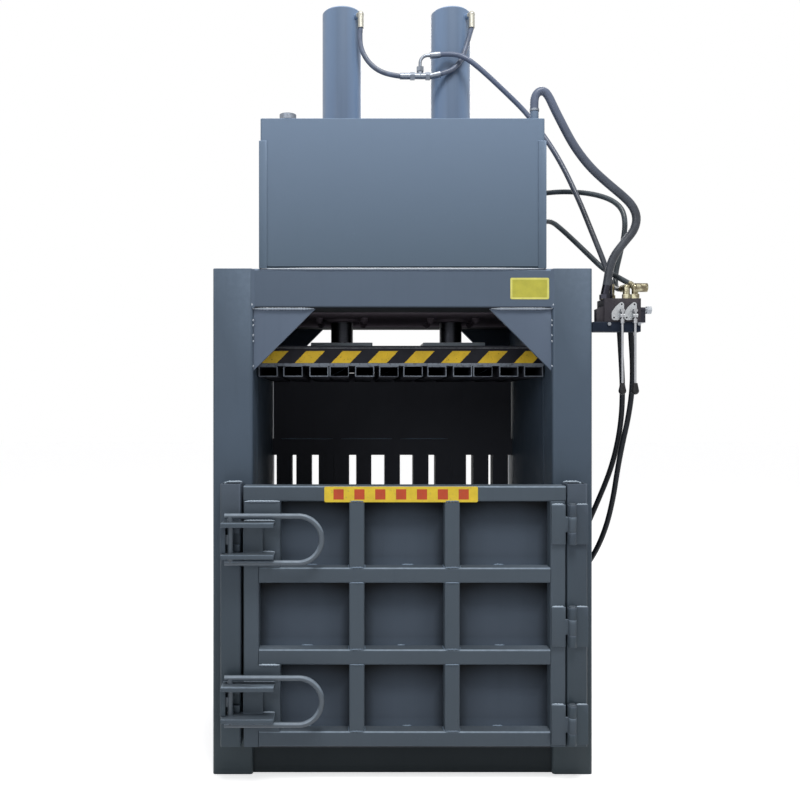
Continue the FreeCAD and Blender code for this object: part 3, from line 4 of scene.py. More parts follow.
import bmesh
import bpy
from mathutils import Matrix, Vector


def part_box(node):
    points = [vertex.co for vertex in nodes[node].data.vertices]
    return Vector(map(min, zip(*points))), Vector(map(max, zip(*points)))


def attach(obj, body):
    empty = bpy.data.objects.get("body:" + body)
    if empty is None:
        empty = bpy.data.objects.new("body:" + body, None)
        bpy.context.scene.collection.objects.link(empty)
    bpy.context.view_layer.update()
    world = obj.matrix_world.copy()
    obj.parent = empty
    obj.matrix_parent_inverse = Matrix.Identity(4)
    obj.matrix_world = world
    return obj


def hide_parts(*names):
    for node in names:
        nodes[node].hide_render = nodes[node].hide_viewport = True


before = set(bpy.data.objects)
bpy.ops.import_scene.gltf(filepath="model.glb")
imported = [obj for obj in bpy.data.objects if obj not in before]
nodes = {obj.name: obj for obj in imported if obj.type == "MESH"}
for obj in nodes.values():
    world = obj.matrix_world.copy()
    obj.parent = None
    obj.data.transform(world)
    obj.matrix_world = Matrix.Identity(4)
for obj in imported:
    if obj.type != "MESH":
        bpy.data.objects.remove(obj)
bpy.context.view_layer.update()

# Looks of the vertical recycling baler, in metres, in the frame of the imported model:
# +X is to the right as seen from the front, -Y is the front and +Z is up.

dice = random.Random(7)


def box_of(node):
    """Lowest and highest corner of a CAD node as two plain tuples."""
    low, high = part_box(node)
    return tuple(low), tuple(high)


# Places taken from the model, and sizes that several pieces share. First the frame: inner is the
# posts' inner face, beam_inner_y and tie_inner_x lie 0.5 mm past the beams' inner faces, and
# roof_level is just under the beams' tops, as the roof and what stands on it get no painted shade.

(_, post_front, _), (post_right, _, post_top) = box_of("front_posts")
post_size = 0.160
inner = post_right - post_size
beam_low = post_top - post_size
beam_inner_y, tie_inner_x = 0.3105, 0.6005
roof_level = 2.024
gusset_leg = 0.250
jamb_low, jamb_high = box_of("door_jambs")
jamb_width = 0.080

# The door: square bars of one width, in three rows of bays with rails between them.

(door_left, door_front, door_low), (door_right, _, door_high) = box_of("door_rails")
panel_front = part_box("door_panel")[0].y
bar = 0.060
bay_pitch = 0.320
bar_centres = (-0.184, 0.189)
rail_lows = (door_low, door_low + bay_pitch, door_low + 2 * bay_pitch, door_high - bar)
latch_block_width = 0.084
latch_middles = (0.332, 0.958)
hinge_tops = (0.310, 0.691, 1.090)

tank_low, tank_high = box_of("oil_tank")
barrel_x = 0.248


# Camera, at the photograph's eye point. It looks level to the rear, and the picture is shifted.

eye_place = (-0.206, -3.770, 1.470)
eye_lens = 37.1
eye_shift = (0.061, 0.009)

camera_data = bpy.data.cameras.new("eye")
camera_data.sensor_width = 36.0
camera_data.lens = eye_lens
camera_data.shift_x, camera_data.shift_y = eye_shift
camera_data.clip_start, camera_data.clip_end = 0.05, 100.0
camera = bpy.data.objects.new("eye", camera_data)
camera.location = eye_place
camera.rotation_euler = (math.radians(90), 0, 0)
bpy.context.scene.collection.objects.link(camera)
bpy.context.scene.camera = camera
bpy.context.scene.view_settings.view_transform = "Standard"


# Materials

class Surface:
    """A Principled material with short calls for the nodes that colour and roughen it."""

    def __init__(self, name, roughness=0.5, metallic=0.0, specular=0.5):
        self.material = bpy.data.materials.new(name)
        self.material.use_nodes = True
        self.tree = self.material.node_tree
        self.tree.nodes.clear()
        self.shader = self.add("ShaderNodeBsdfPrincipled")
        self.shader.inputs["Roughness"].default_value = roughness
        self.shader.inputs["Metallic"].default_value = metallic
        self.shader.inputs["Specular IOR Level"].default_value = specular
        output = self.add("ShaderNodeOutputMaterial")
        self.join(self.shader.outputs["BSDF"], output.inputs["Surface"])
        self.place = self.add("ShaderNodeTexCoord").outputs["Object"]

    def add(self, kind):
        """A new node of one kind."""
        return self.tree.nodes.new(kind)

    def join(self, source, target):
        """A link from an output socket to an input socket."""
        self.tree.links.new(source, target)

    def stretched(self, scale):
        """The object's coordinates, scaled by a different factor on each axis."""
        mapping = self.add("ShaderNodeMapping")
        mapping.inputs["Scale"].default_value = scale
        self.join(self.place, mapping.inputs["Vector"])
        return mapping.outputs["Vector"]

    def noise(self, scale, detail=3.0, rough=0.55, place=None):
        """Cloudy values round 0.5, with scale features to the metre."""
        node = self.add("ShaderNodeTexNoise")
        node.inputs["Scale"].default_value = scale
        node.inputs["Detail"].default_value = detail
        node.inputs["Roughness"].default_value = rough
        self.join(place or self.place, node.inputs["Vector"])
        return node.outputs["Fac"]

    def ramp(self, source, low, high, low_value=0.0, high_value=1.0):
        """Straight-line change between two inputs, held beyond them."""
        node = self.add("ShaderNodeMapRange")
        node.inputs["From Min"].default_value = low
        node.inputs["From Max"].default_value = high
        node.inputs["To Min"].default_value = low_value
        node.inputs["To Max"].default_value = high_value
        self.join(source, node.inputs["Value"])
        return node.outputs["Result"]

    def math(self, operation, first, second=None):
        """Arithmetic on sockets or plain numbers."""
        node = self.add("ShaderNodeMath")
        node.operation = operation
        for slot, value in zip(node.inputs, (first, second)):
            if isinstance(value, (int, float)):
                slot.default_value = value
            elif value is not None:
                self.join(value, slot)
        return node.outputs["Value"]

    def axis(self, name):
        """One coordinate of the surface point."""
        node = self.add("ShaderNodeSeparateXYZ")
        self.join(self.place, node.inputs["Vector"])
        return node.outputs[name]

    def facing(self, low, high):
        """0 to 1 as the height part of the surface's normal goes from low to high."""
        node = self.add("ShaderNodeSeparateXYZ")
        self.join(self.add("ShaderNodeNewGeometry").outputs["Normal"], node.inputs["Vector"])
        return self.ramp(node.outputs["Z"], low, high)

    def facing_up(self):
        """1 on level tops, 0 on walls."""
        return self.facing(0.2, 0.9)

    def facing_down(self):
        """1 on undersides, 0 on walls."""
        return self.facing(-0.2, -0.8)

    def within(self, name, reach):
        """1 where one coordinate lies between -reach and reach."""
        return self.math("LESS_THAN", self.math("ABSOLUTE", self.axis(name)), reach)

    def edges(self, reach=0.004):
        """Two masks: 1 near any edge, and 1 along upper edges only."""
        turned = self.add("ShaderNodeBevel")
        turned.samples = 4
        turned.inputs["Radius"].default_value = reach
        plain = self.add("ShaderNodeNewGeometry").outputs["Normal"]
        dot = self.add("ShaderNodeVectorMath")
        dot.operation = "DOT_PRODUCT"
        self.join(turned.outputs["Normal"], dot.inputs[0])
        self.join(plain, dot.inputs[1])
        heights = []
        for source in (turned.outputs["Normal"], plain):
            node = self.add("ShaderNodeSeparateXYZ")
            self.join(source, node.inputs["Vector"])
            heights.append(node.outputs["Z"])
        rise = self.ramp(self.math("SUBTRACT", *heights), 0.10, 0.40)
        slope = self.math("MULTIPLY", self.ramp(heights[1], 0.15, 0.40),
                          self.ramp(heights[1], 0.99, 0.92))
        upper = self.math("MAXIMUM", rise, slope)
        return self.ramp(dot.outputs["Value"], 0.98, 0.86), upper

    def blend(self, first, second, factor):
        """Colour between two colours, each a tuple or a socket, at a factor from a socket."""
        node = self.add("ShaderNodeMix")
        node.data_type = "RGBA"
        for name, value in (("A", first), ("B", second)):
            slot = [s for s in node.inputs if s.name == name and s.type == "RGBA"][0]
            if isinstance(value, tuple):
                slot.default_value = (*value, 1.0)
            else:
                self.join(value, slot)
        self.join(factor, node.inputs["Factor"])
        return [s for s in node.outputs if s.type == "RGBA"][0]

    def coat(self, weight, roughness):
        """A clear film over the surface."""
        self.shader.inputs["Coat Weight"].default_value = weight
        self.shader.inputs["Coat Roughness"].default_value = roughness

    def colour(self, source):
        """Takes the surface's colour from a socket."""
        self.join(source, self.shader.inputs["Base Color"])

    def roughness(self, source):
        """Takes the surface's roughness from a socket."""
        self.join(source, self.shader.inputs["Roughness"])

    def bump(self, height, strength, distance):
        """Fine relief from a socket, distance in metres."""
        node = self.add("ShaderNodeBump")
        node.inputs["Strength"].default_value = strength
        node.inputs["Distance"].default_value = distance
        self.join(height, node.inputs["Height"])
        self.join(node.outputs["Normal"], self.shader.inputs["Normal"])


def shade(colour, factor):
    """A darker or lighter tone of one colour."""
    return tuple(channel * factor for channel in colour)


def rubbed_and_highlight_tone(colour, gain, lift):
    """The chalky tone of paint worn thin, also used for a painted highlight."""
    return tuple(min(1.0, channel * gain + lift) for channel in colour)


# The first tone is painted shade for inner faces and undersides; the second is dust.
painted_shade_colour = (0.008, 0.009, 0.011)
dust_colour = (0.28, 0.29, 0.30)


def sprayed_and_shaded_tone(skin, colour, low_colour, height, drift):
    """Paint that changes with height as painted shade, with clouds, a fine mottle and faint runs.
    """
    # Painted shade: darker towards the foot of span, lighter towards its top.
    base = skin.blend(low_colour, colour, height)
    cloud = skin.ramp(skin.noise(1.7, 3.0, 0.5), 0.32, 0.68, 0.0, drift)
    faded = skin.blend(shade(low_colour, 0.92), shade(colour, 0.92), height)
    base = skin.blend(base, faded, cloud)
    mottle = skin.ramp(skin.noise(11.0, 5.0, 0.7), 0.35, 0.75, 0.0, 0.06 * drift)
    base = skin.blend(base, shade(low_colour, 0.70), mottle)
    runs = skin.noise(1.0, 5.0, 0.65, skin.stretched((30, 30, 2.2)))
    streak = skin.ramp(runs, 0.54, 0.76, 0.0, 0.20 * drift)
    return skin.blend(base, shade(low_colour, 0.72), streak)


def worn_and_highlit_tone(skin, base, colour, wear, crest):
    """Scuffs in patches, worn edges, and a painted highlight along upper edges."""
    scuff_mask = skin.ramp(skin.noise(110.0, 2.0, 0.7), 0.62, 0.72)
    scuff_area = skin.ramp(skin.noise(5.0, 3.0, 0.6), 0.55, 0.70)
    scuffs = skin.math("MULTIPLY", skin.math("MULTIPLY", scuff_mask, scuff_area), 0.28 * wear)
    base = skin.blend(base, shade(colour, 1.6), scuffs)
    broken = skin.ramp(skin.noise(38.0, 3.0, 0.7), 0.40, 0.62)
    edge, upper_edge = skin.edges()
    rub = skin.math("MULTIPLY", skin.math("MULTIPLY", edge, broken), 0.5 * wear)
    base = skin.blend(base, rubbed_and_highlight_tone(colour, 1.5, 0.04), rub)
    # Painted highlight: upper edges made paler, in broken patches.
    pale = skin.math("MULTIPLY", upper_edge, skin.ramp(broken, 0.0, 1.0, 0.75 * crest, crest))
    return skin.blend(base, rubbed_and_highlight_tone(colour, 3.2, 0.05), pale)


def dusty_tone(skin, base, dust):
    """Dust that lies in patches on level tops."""
    level = skin.facing_up()
    lying = skin.math("MULTIPLY", level, skin.ramp(skin.noise(9.0, 4.0, 0.7), 0.3, 0.7))
    return skin.blend(base, dust_colour, skin.math("MULTIPLY", lying, dust))


def paint(name, colour, low_colour=None, gloss=0.46, wear=0.6, dust=0.12, drift=1.0,
          span=(0.15, 2.0), specular=0.2, dark=None, crest=0.5, marks=None, coat=0.0):
    """Sprayed enamel: drifting tone, orange peel, faint runs, worn edges and dust on tops.

    The tone goes from low_colour to colour over the two heights of span: painted shade.
    gloss is the middle roughness, and drift is how far tone and roughness vary.
    dark is an axis and a distance: below the roof, faces nearer the machine's middle than that
    get painted shade, and so do all undersides.
    crest is the strength of the painted highlight along upper edges.
    marks gives two more masks, one of painted highlight and one of painted shade or None.
    """
    skin = Surface(name, specular=specular)
    skin.coat(coat, 0.22)
    low_colour = low_colour or colour
    height = skin.ramp(skin.axis("Z"), *span)
    base = sprayed_and_shaded_tone(skin, colour, low_colour, height, drift)
    base = worn_and_highlit_tone(skin, base, colour, wear, crest)
    base = dusty_tone(skin, base, dust)
    # marks adds painted highlight and painted shade to the paint.
    if marks:
        light, painted_shade = marks(skin)
        base = skin.blend(base, shade(colour, 1.6), light)
        if painted_shade:
            base = skin.blend(base, shade(low_colour, 0.05), painted_shade)
    patches = skin.noise(6.0, 3.0, 0.6)
    dull = skin.ramp(patches, 0.3, 0.7, gloss - 0.05 * drift, gloss + 0.09 * drift)
    # Painted shade: inner faces below the roof and all undersides go near black, and rougher.
    if dark:
        below_roof = skin.math("LESS_THAN", skin.axis("Z"), roof_level)
        inward = skin.math("MULTIPLY", skin.within(*dark), below_roof)
        painted_shade = skin.math("MAXIMUM", inward, skin.facing_down())
        base = skin.blend(base, painted_shade_colour, skin.math("MULTIPLY", painted_shade, 0.97))
        dull = skin.math("MAXIMUM", dull, painted_shade)
    skin.colour(base)
    skin.roughness(dull)
    peel = skin.noise(180.0, 2.0, 0.5)
    skin.bump(peel, 0.05, 0.0006)
    return skin


def bay_painted_shade(skin):
    """The door's sheet: painted highlight at the foot of each bay, and painted shadow, thick under
    each rail and thin beside the bars and stiles."""
    near_reach, near_strength = 0.040, 0.40
    wide_reach, wide_strength = 0.120, 0.25
    shadow_start, foot_height = 0.110, 0.035
    phase = skin.math("SUBTRACT", skin.axis("Z"), door_low + bar)
    phase = skin.math("FLOORED_MODULO", phase, bay_pitch)
    painted_shade = skin.math("POWER", skin.ramp(phase, shadow_start, bay_pitch - bar), 1.5)
    for centre in (door_left + bar / 2, *bar_centres, door_right - bar / 2):
        away = skin.math("ABSOLUTE", skin.math("SUBTRACT", skin.axis("X"), centre))
        near = skin.ramp(away, bar / 2, bar / 2 + near_reach, near_strength, 0.0)
        painted_shade = skin.math("MAXIMUM", painted_shade, near)
        wide = skin.ramp(away, bar / 2, bar / 2 + wide_reach, wide_strength, 0.0)
        painted_shade = skin.math("ADD", painted_shade, wide)
    return skin.ramp(phase, 0.0, foot_height, 0.6, 0.0), skin.math("MINIMUM", painted_shade, 0.97)


def barrel_flank_highlight(skin):
    """Painted highlight: paler paint on the flanks of both cylinder barrels."""
    flank_start, flank_end = 0.020, 0.070
    away = skin.math("SUBTRACT", skin.math("ABSOLUTE", skin.axis("X")), barrel_x)
    return skin.ramp(skin.math("ABSOLUTE", away), flank_start, flank_end), None


# Paints, each with the tone of its upper end first and that of its foot, if it differs, second

# Where a foot tone is darker than the upper one, it is painted shade.
enamel = (0.070, 0.098, 0.138)
enamel_low = (0.042, 0.058, 0.069)
frame_paint = paint("frame_paint", enamel, enamel_low, span=(0.15, 1.4))
beam_blue = (0.098, 0.132, 0.185)
beam_paint = paint("beam_paint", beam_blue, dark=("Y", beam_inner_y))
tie_paint = paint("tie_paint", beam_blue, dark=("X", tie_inner_x))
gusset_paint = paint("gusset_paint", (0.110, 0.144, 0.203))
jamb_paint = paint("jamb_paint", (0.058, 0.074, 0.104), (0.054, 0.074, 0.092))
door_paint = paint("door_paint", (0.078, 0.102, 0.130), (0.070, 0.091, 0.115), crest=0.8)
panel_paint = paint(
    "panel_paint", (0.080, 0.104, 0.138), (0.072, 0.092, 0.123), marks=bay_painted_shade, crest=0.0,
    specular=0.08,
)
tank_paint = paint(
    "tank_paint", (0.151, 0.208, 0.296), (0.092, 0.130, 0.178), gloss=0.42, wear=0.4, drift=0.15,
    span=(2.03, 2.60),
)
barrel_paint = paint(
    "barrel_paint", (0.110, 0.162, 0.252), (0.100, 0.142, 0.218), 0.50, 0.35, coat=0.5,
    marks=barrel_flank_highlight,
)
# Painted light: the rod flanges are pale, for light on their front edges, which lie in shade.
lit_flange_paint = paint("lit_flange_paint", (0.50, 0.58, 0.66))
inside_paint = paint(
    "inside_paint", (0.066, 0.070, 0.088), (0.050, 0.053, 0.062), 0.62, 0.5, specular=0.1,
    crest=0.0,
)
deck_paint = paint("deck_paint", (0.150, 0.130, 0.155), gloss=0.6, specular=0.0, dust=0.0)
# Painted shade: the sill's near-black tone stands for the shadow under the door.
shaded_sill_paint = paint("shaded_sill_paint", (0.030, 0.037, 0.042), gloss=0.55, crest=0.2, specular=0.05)
handle_paint = paint(
    "handle_paint", (0.105, 0.132, 0.164), (0.092, 0.114, 0.140), 0.40, 0.9, coat=0.3
)
arm_paint = paint("arm_paint", (0.0135, 0.020, 0.035), crest=0.3, specular=0.1)
motor_paint = paint("motor_paint", (0.080, 0.105, 0.145), gloss=0.45)


def ram_paint():
    """Black paint whose cut front edges are worn back to grey primer below the striped plate."""
    primer_front, primer_top = -0.3488, 1.662
    skin = Surface("ram_paint", 0.6, specular=0.05)
    grime = skin.ramp(skin.noise(14.0, 4.0, 0.65), 0.3, 0.7)
    base = skin.blend((0.024, 0.026, 0.034), (0.040, 0.042, 0.052), grime)
    front = skin.math("LESS_THAN", skin.axis("Y"), primer_front)
    low = skin.math("LESS_THAN", skin.axis("Z"), primer_top)
    broken = skin.ramp(skin.noise(60.0, 4.0, 0.7), 0.36, 0.52, 0.35, 1.0)
    cover = skin.math("MULTIPLY", skin.math("MULTIPLY", front, low), broken)
    base = skin.blend(base, (0.205, 0.234, 0.278), cover)
    skin.colour(base)
    skin.bump(skin.noise(300.0, 3.0, 0.6), 0.2, 0.0006)
    return skin


# Metals

cap_union_span = (3.10, 3.14)


def bare_steel(name, colour, roughness=0.32, grain=(40, 40, 900), tint=(0.30, 0.22, 0.14),
               high_colour=None, relief=0.12):
    """Bright metal with turning marks and a few specks of tint.

    high_colour is the tone of the unions at the cylinders' caps, above the others.
    """
    skin = Surface(name, roughness, 1.0)
    lines = skin.noise(1.0, 2.0, 0.6, skin.stretched(grain))
    base = skin.blend(shade(colour, 0.75), colour, skin.ramp(lines, 0.3, 0.7))
    if high_colour:
        base = skin.blend(base, high_colour, skin.ramp(skin.axis("Z"), *cap_union_span))
    specks = skin.ramp(skin.noise(60.0, 4.0, 0.7), 0.62, 0.74, 0.0, 0.5)
    skin.colour(skin.blend(base, tint, specks))
    skin.roughness(skin.ramp(lines, 0.3, 0.7, roughness - 0.08, roughness + 0.12))
    skin.bump(lines, relief, 0.0004)
    return skin


# Painted shade: the piston rods' chrome is near black, for the shade and dark reflections on them.
chrome = bare_steel(
    "chrome", (0.052, 0.055, 0.066), 0.34, (8, 8, 300), (0.05, 0.045, 0.04), relief=0.02
)
steel = bare_steel("steel", (0.44, 0.45, 0.47), 0.36)
zinc = ((0.27, 0.30, 0.35), 0.42, (150, 150, 150), (0.15, 0.15, 0.16))
silver = bare_steel("silver", *zinc)
union_metal = bare_steel("union_metal", *zinc, high_colour=(0.44, 0.43, 0.38))
cast_aluminium = bare_steel(
    "cast_aluminium", (0.52, 0.54, 0.56), 0.52, (260, 260, 260), (0.20, 0.20, 0.21)
)


def fitting_metal():
    """Yellow plated unions, with a black sleeve and relief block, and a bright cap and bolts."""
    sleeve_right, sleeve_foot = 0.8575, 1.9065
    block_left, block_top = 0.9545, 1.905
    cap_left, bolt_top = 0.986, 1.813
    skin = Surface("fitting_metal", 0.3, 1.0)
    x, z = skin.axis("X"), skin.axis("Z")
    grain = skin.ramp(skin.noise(120.0, 3.0, 0.6), 0.3, 0.7)
    base = skin.blend((0.26, 0.235, 0.145), (0.58, 0.55, 0.40), grain)
    stain = skin.ramp(skin.noise(34.0, 4.0, 0.7), 0.43, 0.56)
    base = skin.blend(base, (0.085, 0.060, 0.035), skin.math("MULTIPLY", stain, 0.75))
    sleeve = skin.math("MULTIPLY", skin.math("LESS_THAN", x, sleeve_right),
                       skin.math("GREATER_THAN", z, sleeve_foot))
    block = skin.math("MULTIPLY", skin.math("GREATER_THAN", x, block_left),
                      skin.math("LESS_THAN", z, block_top))
    dark = skin.math("MAXIMUM", sleeve, block)
    base = skin.blend(base, (0.036, 0.036, 0.046), dark)
    cap = skin.math("MULTIPLY", skin.math("GREATER_THAN", x, cap_left), block)
    bolts = skin.math("LESS_THAN", z, bolt_top)
    base = skin.blend(base, (0.30, 0.32, 0.35), skin.math("MAXIMUM", cap, bolts))
    skin.colour(base)
    skin.roughness(skin.ramp(grain, 0.0, 1.0, 0.24, 0.42))
    skin.bump(grain, 0.1, 0.0004)
    return skin


def casting(name, colour):
    """Dark painted casting with a sandy skin."""
    skin = Surface(name, 0.5, specular=0.25)
    grit = skin.noise(520.0, 3.0, 0.7)
    base = skin.blend(shade(colour, 0.6), shade(colour, 1.3), skin.ramp(grit, 0.3, 0.7))
    stain = skin.ramp(skin.noise(18.0, 4.0, 0.6), 0.5, 0.75, 0.0, 0.6)
    skin.colour(skin.blend(base, (0.078, 0.070, 0.074), stain))
    skin.bump(grit, 0.35, 0.0008)
    return skin


valve_iron = casting("valve_iron", (0.032, 0.029, 0.037))


# Rubber and plastic

hose_colour_span = (2.25, 2.80)


def rubber(name, colour, gloss, coat, high_colour=None):
    """Hose cover: fine cloth wrap marks, dusty scuffs, a waxy sheen, perhaps bluer high up."""
    skin = Surface(name, gloss, specular=0.15)
    skin.coat(coat, 0.25)
    wrap = skin.noise(700.0, 2.0, 0.5)
    dusty = skin.ramp(skin.noise(22.0, 4.0, 0.7), 0.45, 0.75, 0.0, 0.55)
    base = skin.blend(colour, shade(colour, 2.2), dusty)
    if high_colour:
        height = skin.ramp(skin.axis("Z"), *hose_colour_span)
        base = skin.blend(base, high_colour, height)
    skin.colour(base)
    skin.roughness(skin.ramp(dusty, 0.0, 0.55, gloss - 0.08, gloss + 0.15))
    skin.bump(wrap, 0.22, 0.0007)
    return skin


black_rubber = rubber("black_rubber", (0.010, 0.012, 0.016), 0.50, 0.08)
grey_rubber = rubber("grey_rubber", (0.052, 0.064, 0.074), 0.48, 0.3)
blue_rubber = rubber("blue_rubber", (0.100, 0.122, 0.176), 0.50, 0.4)
graded_rubber = rubber(
    "graded_rubber", (0.046, 0.052, 0.064), 0.48, 0.3, high_colour=(0.115, 0.142, 0.215)
)
hose_covers = {
    "hose_cap_left": blue_rubber, "hose_cap_right": blue_rubber, "hose_cap_feed": graded_rubber,
    "hose_rod_side": grey_rubber, "hose_pressure": grey_rubber, "hose_return": graded_rubber,
    "hose_eject_out": black_rubber, "hose_eject_back": black_rubber,
}


def plastic(name, colour):
    """Moulded grip with a fine grain and handled patches."""
    skin = Surface(name, 0.38, specular=0.2)
    handled = skin.ramp(skin.noise(35.0, 3.0, 0.6), 0.5, 0.7, 0.0, 0.4)
    skin.colour(skin.blend(colour, shade(colour, 2.6), handled))
    skin.roughness(skin.ramp(handled, 0.0, 0.4, 0.34, 0.52))
    skin.bump(skin.noise(900.0, 2.0, 0.5), 0.15, 0.0004)
    return skin


knob_plastic = plastic("knob_plastic", (0.016, 0.016, 0.018))


# Bands on the front plate of the ram: yellow bars that lean right, over black. The lean is the
# distance to the right for each unit of height.

stripe_start = -0.441
stripe_pitch = 0.1517
stripe_width = 0.0783
stripe_lean = 0.96
stripe_foot = 1.653
stripe_top = 1.703
stripe_plate_edge = 1.7143
stripe_raggedness = 0.006


def striped_plate():
    """Black paint with worn yellow bands, and a pale upper edge: partly worn steel, partly painted
    highlight.
    """
    skin = Surface("striped_plate", 0.42, specular=0.1)
    rise = skin.math("SUBTRACT", skin.axis("Z"), stripe_foot)
    lean = skin.math("MULTIPLY", rise, stripe_lean)
    along = skin.math("SUBTRACT", skin.math("SUBTRACT", skin.axis("X"), stripe_start), lean)
    waver = skin.math("SUBTRACT", skin.noise(90.0, 3.0, 0.6), 0.5)
    along = skin.math("ADD", along, skin.math("MULTIPLY", waver, stripe_raggedness))
    phase = skin.math("FLOORED_MODULO", along, stripe_pitch)
    stripe = skin.math("LESS_THAN", phase, stripe_width)
    below_lip = skin.math("LESS_THAN", skin.axis("Z"), stripe_top)
    worn = skin.ramp(skin.noise(130.0, 4.0, 0.75), 0.60, 0.68, 1.0, 0.25)
    cover = skin.math("MULTIPLY", skin.math("MULTIPLY", stripe, below_lip), worn)
    cloud = skin.ramp(skin.noise(14.0, 4.0, 0.6), 0.3, 0.7)
    yellow = skin.blend((0.82, 0.55, 0.045), (0.60, 0.40, 0.040), cloud)
    black = skin.blend((0.012, 0.012, 0.016), (0.020, 0.021, 0.028), cloud)
    base = skin.blend(black, yellow, cover)
    # The pale upper edge is partly worn steel and partly a painted highlight along the top edge.
    edge_patches = skin.ramp(skin.noise(40.0, 3.0, 0.6), 0.30, 0.60, 0.4, 1.0)
    top_edge = skin.math("GREATER_THAN", skin.axis("Z"), stripe_plate_edge)
    top_edge = skin.math("MULTIPLY", top_edge, edge_patches)
    skin.colour(skin.blend(base, (0.27, 0.29, 0.31), top_edge))
    skin.bump(skin.math("ADD", cover, skin.noise(300.0, 2.0, 0.5)), 0.2, 0.0006)
    return skin


# Films of the plain signs, and a black one for the shadow line under the tank

def label_paint(name, colour, dirt):
    """Plain film: a flat tone that has faded and caught some dirt."""
    skin = Surface(name, 0.36)
    faded = skin.ramp(skin.noise(24.0, 4.0, 0.6), 0.3, 0.7)
    base = skin.blend(colour, shade(colour, 0.82), faded)
    grime = skin.ramp(skin.noise(70.0, 4.0, 0.7), 0.58, 0.72, 0.0, dirt)
    skin.colour(skin.blend(base, (0.16, 0.14, 0.10), grime))
    skin.bump(skin.noise(60.0, 2.0, 0.5), 0.12, 0.0005)
    return skin


black_film = paint("black_film", (0.006, 0.009, 0.014), crest=0.0, dust=0.0, specular=0.0)
film_yellow = label_paint("film_yellow", (0.77, 0.56, 0.030), 0.35)
film_pale = label_paint("film_pale", (0.74, 0.71, 0.180), 0.30)
film_red = label_paint("film_red", (0.52, 0.060, 0.012), 0.25)
film_olive = label_paint("film_olive", (0.50, 0.47, 0.060), 0.20)


# Materials on the CAD nodes

def give(surface, *names):
    """One material on whole CAD nodes."""
    for name in names:
        slots = nodes[name].data.materials
        slots.clear()
        slots.append(surface.material)


give(frame_paint, "front_posts", "rear_posts", "side_walls", "ejector_barrel")
give(arm_paint, "valve_arm")
give(beam_paint, "head_beams")
give(tie_paint, "tie_beams")
give(gusset_paint, "corner_gussets")
give(jamb_paint, "door_jambs", "latch_keepers", "hinge_leaves_frame")
give(door_paint, "door_uprights", "door_rails", "hinge_leaves_door", "latch_brackets")
give(panel_paint, "door_panel")
give(shaded_sill_paint, "base_frame")
give(deck_paint, "cylinder_deck", "cylinder_bolts", "rod_glands")
give(inside_paint, "floor_plate", "rear_wall", "door_liner")
give(ram_paint(), "platen_box", "platen_channels")
give(lit_flange_paint, "rod_flanges")
give(tank_paint, "oil_tank", "tank_corner_angles", "return_stub")
give(barrel_paint, "cylinder_barrels")
give(handle_paint, "latch_handle_lower", "latch_handle_upper", "hinge_pins")
give(motor_paint, "motor_housing", "fan_cover", "pump", "oil_pipes")
give(striped_plate(), "platen_front_plate")
give(chrome, "piston_rods")
give(steel, "motor_rotor", "spool_1", "spool_2", "lever_1", "lever_2")
give(silver, "breather_cap", "ejector_ram")
give(union_metal, "hose_fittings")
give(fitting_metal(), "valve_fittings")
give(valve_iron, "valve_body")
give(cast_aluminium, "lever_brackets")
give(knob_plastic, "knob_1", "knob_2")


# Softened edges on the CAD nodes: rolled sections are rounder than cut plate.

def soften(names, width):
    """Joins the faceted model's flat faces, then rounds its sharp edges by width."""
    for name in names:
        piece = nodes[name]
        weld = piece.modifiers.new("weld", "WELD")
        weld.merge_threshold = 0.00002
        flat = piece.modifiers.new("flat", "DECIMATE")
        flat.decimate_type = "DISSOLVE"
        flat.angle_limit = math.radians(0.5)
        bevel = piece.modifiers.new("bevel", "BEVEL")
        bevel.width = width
        bevel.segments = 2
        bevel.limit_method = "ANGLE"
        bevel.angle_limit = math.radians(40)
        bevel.harden_normals = True
        for face in piece.data.polygons:
            face.use_smooth = True


soften(("front_posts", "rear_posts", "head_beams", "tie_beams"), 0.003)
soften(("door_rails", "door_jambs"), 0.0015)
soften(("platen_channels", "valve_arm"), 0.003)
soften(("corner_gussets", "latch_brackets", "latch_keepers", "hinge_leaves_frame",
        "hinge_leaves_door", "platen_box", "rod_flanges", "valve_body", "platen_front_plate",
        "tank_corner_angles", "cylinder_bolts"), 0.0015)


# Hoses: each follows the same points as its tube in the model, and hangs between its fittings.

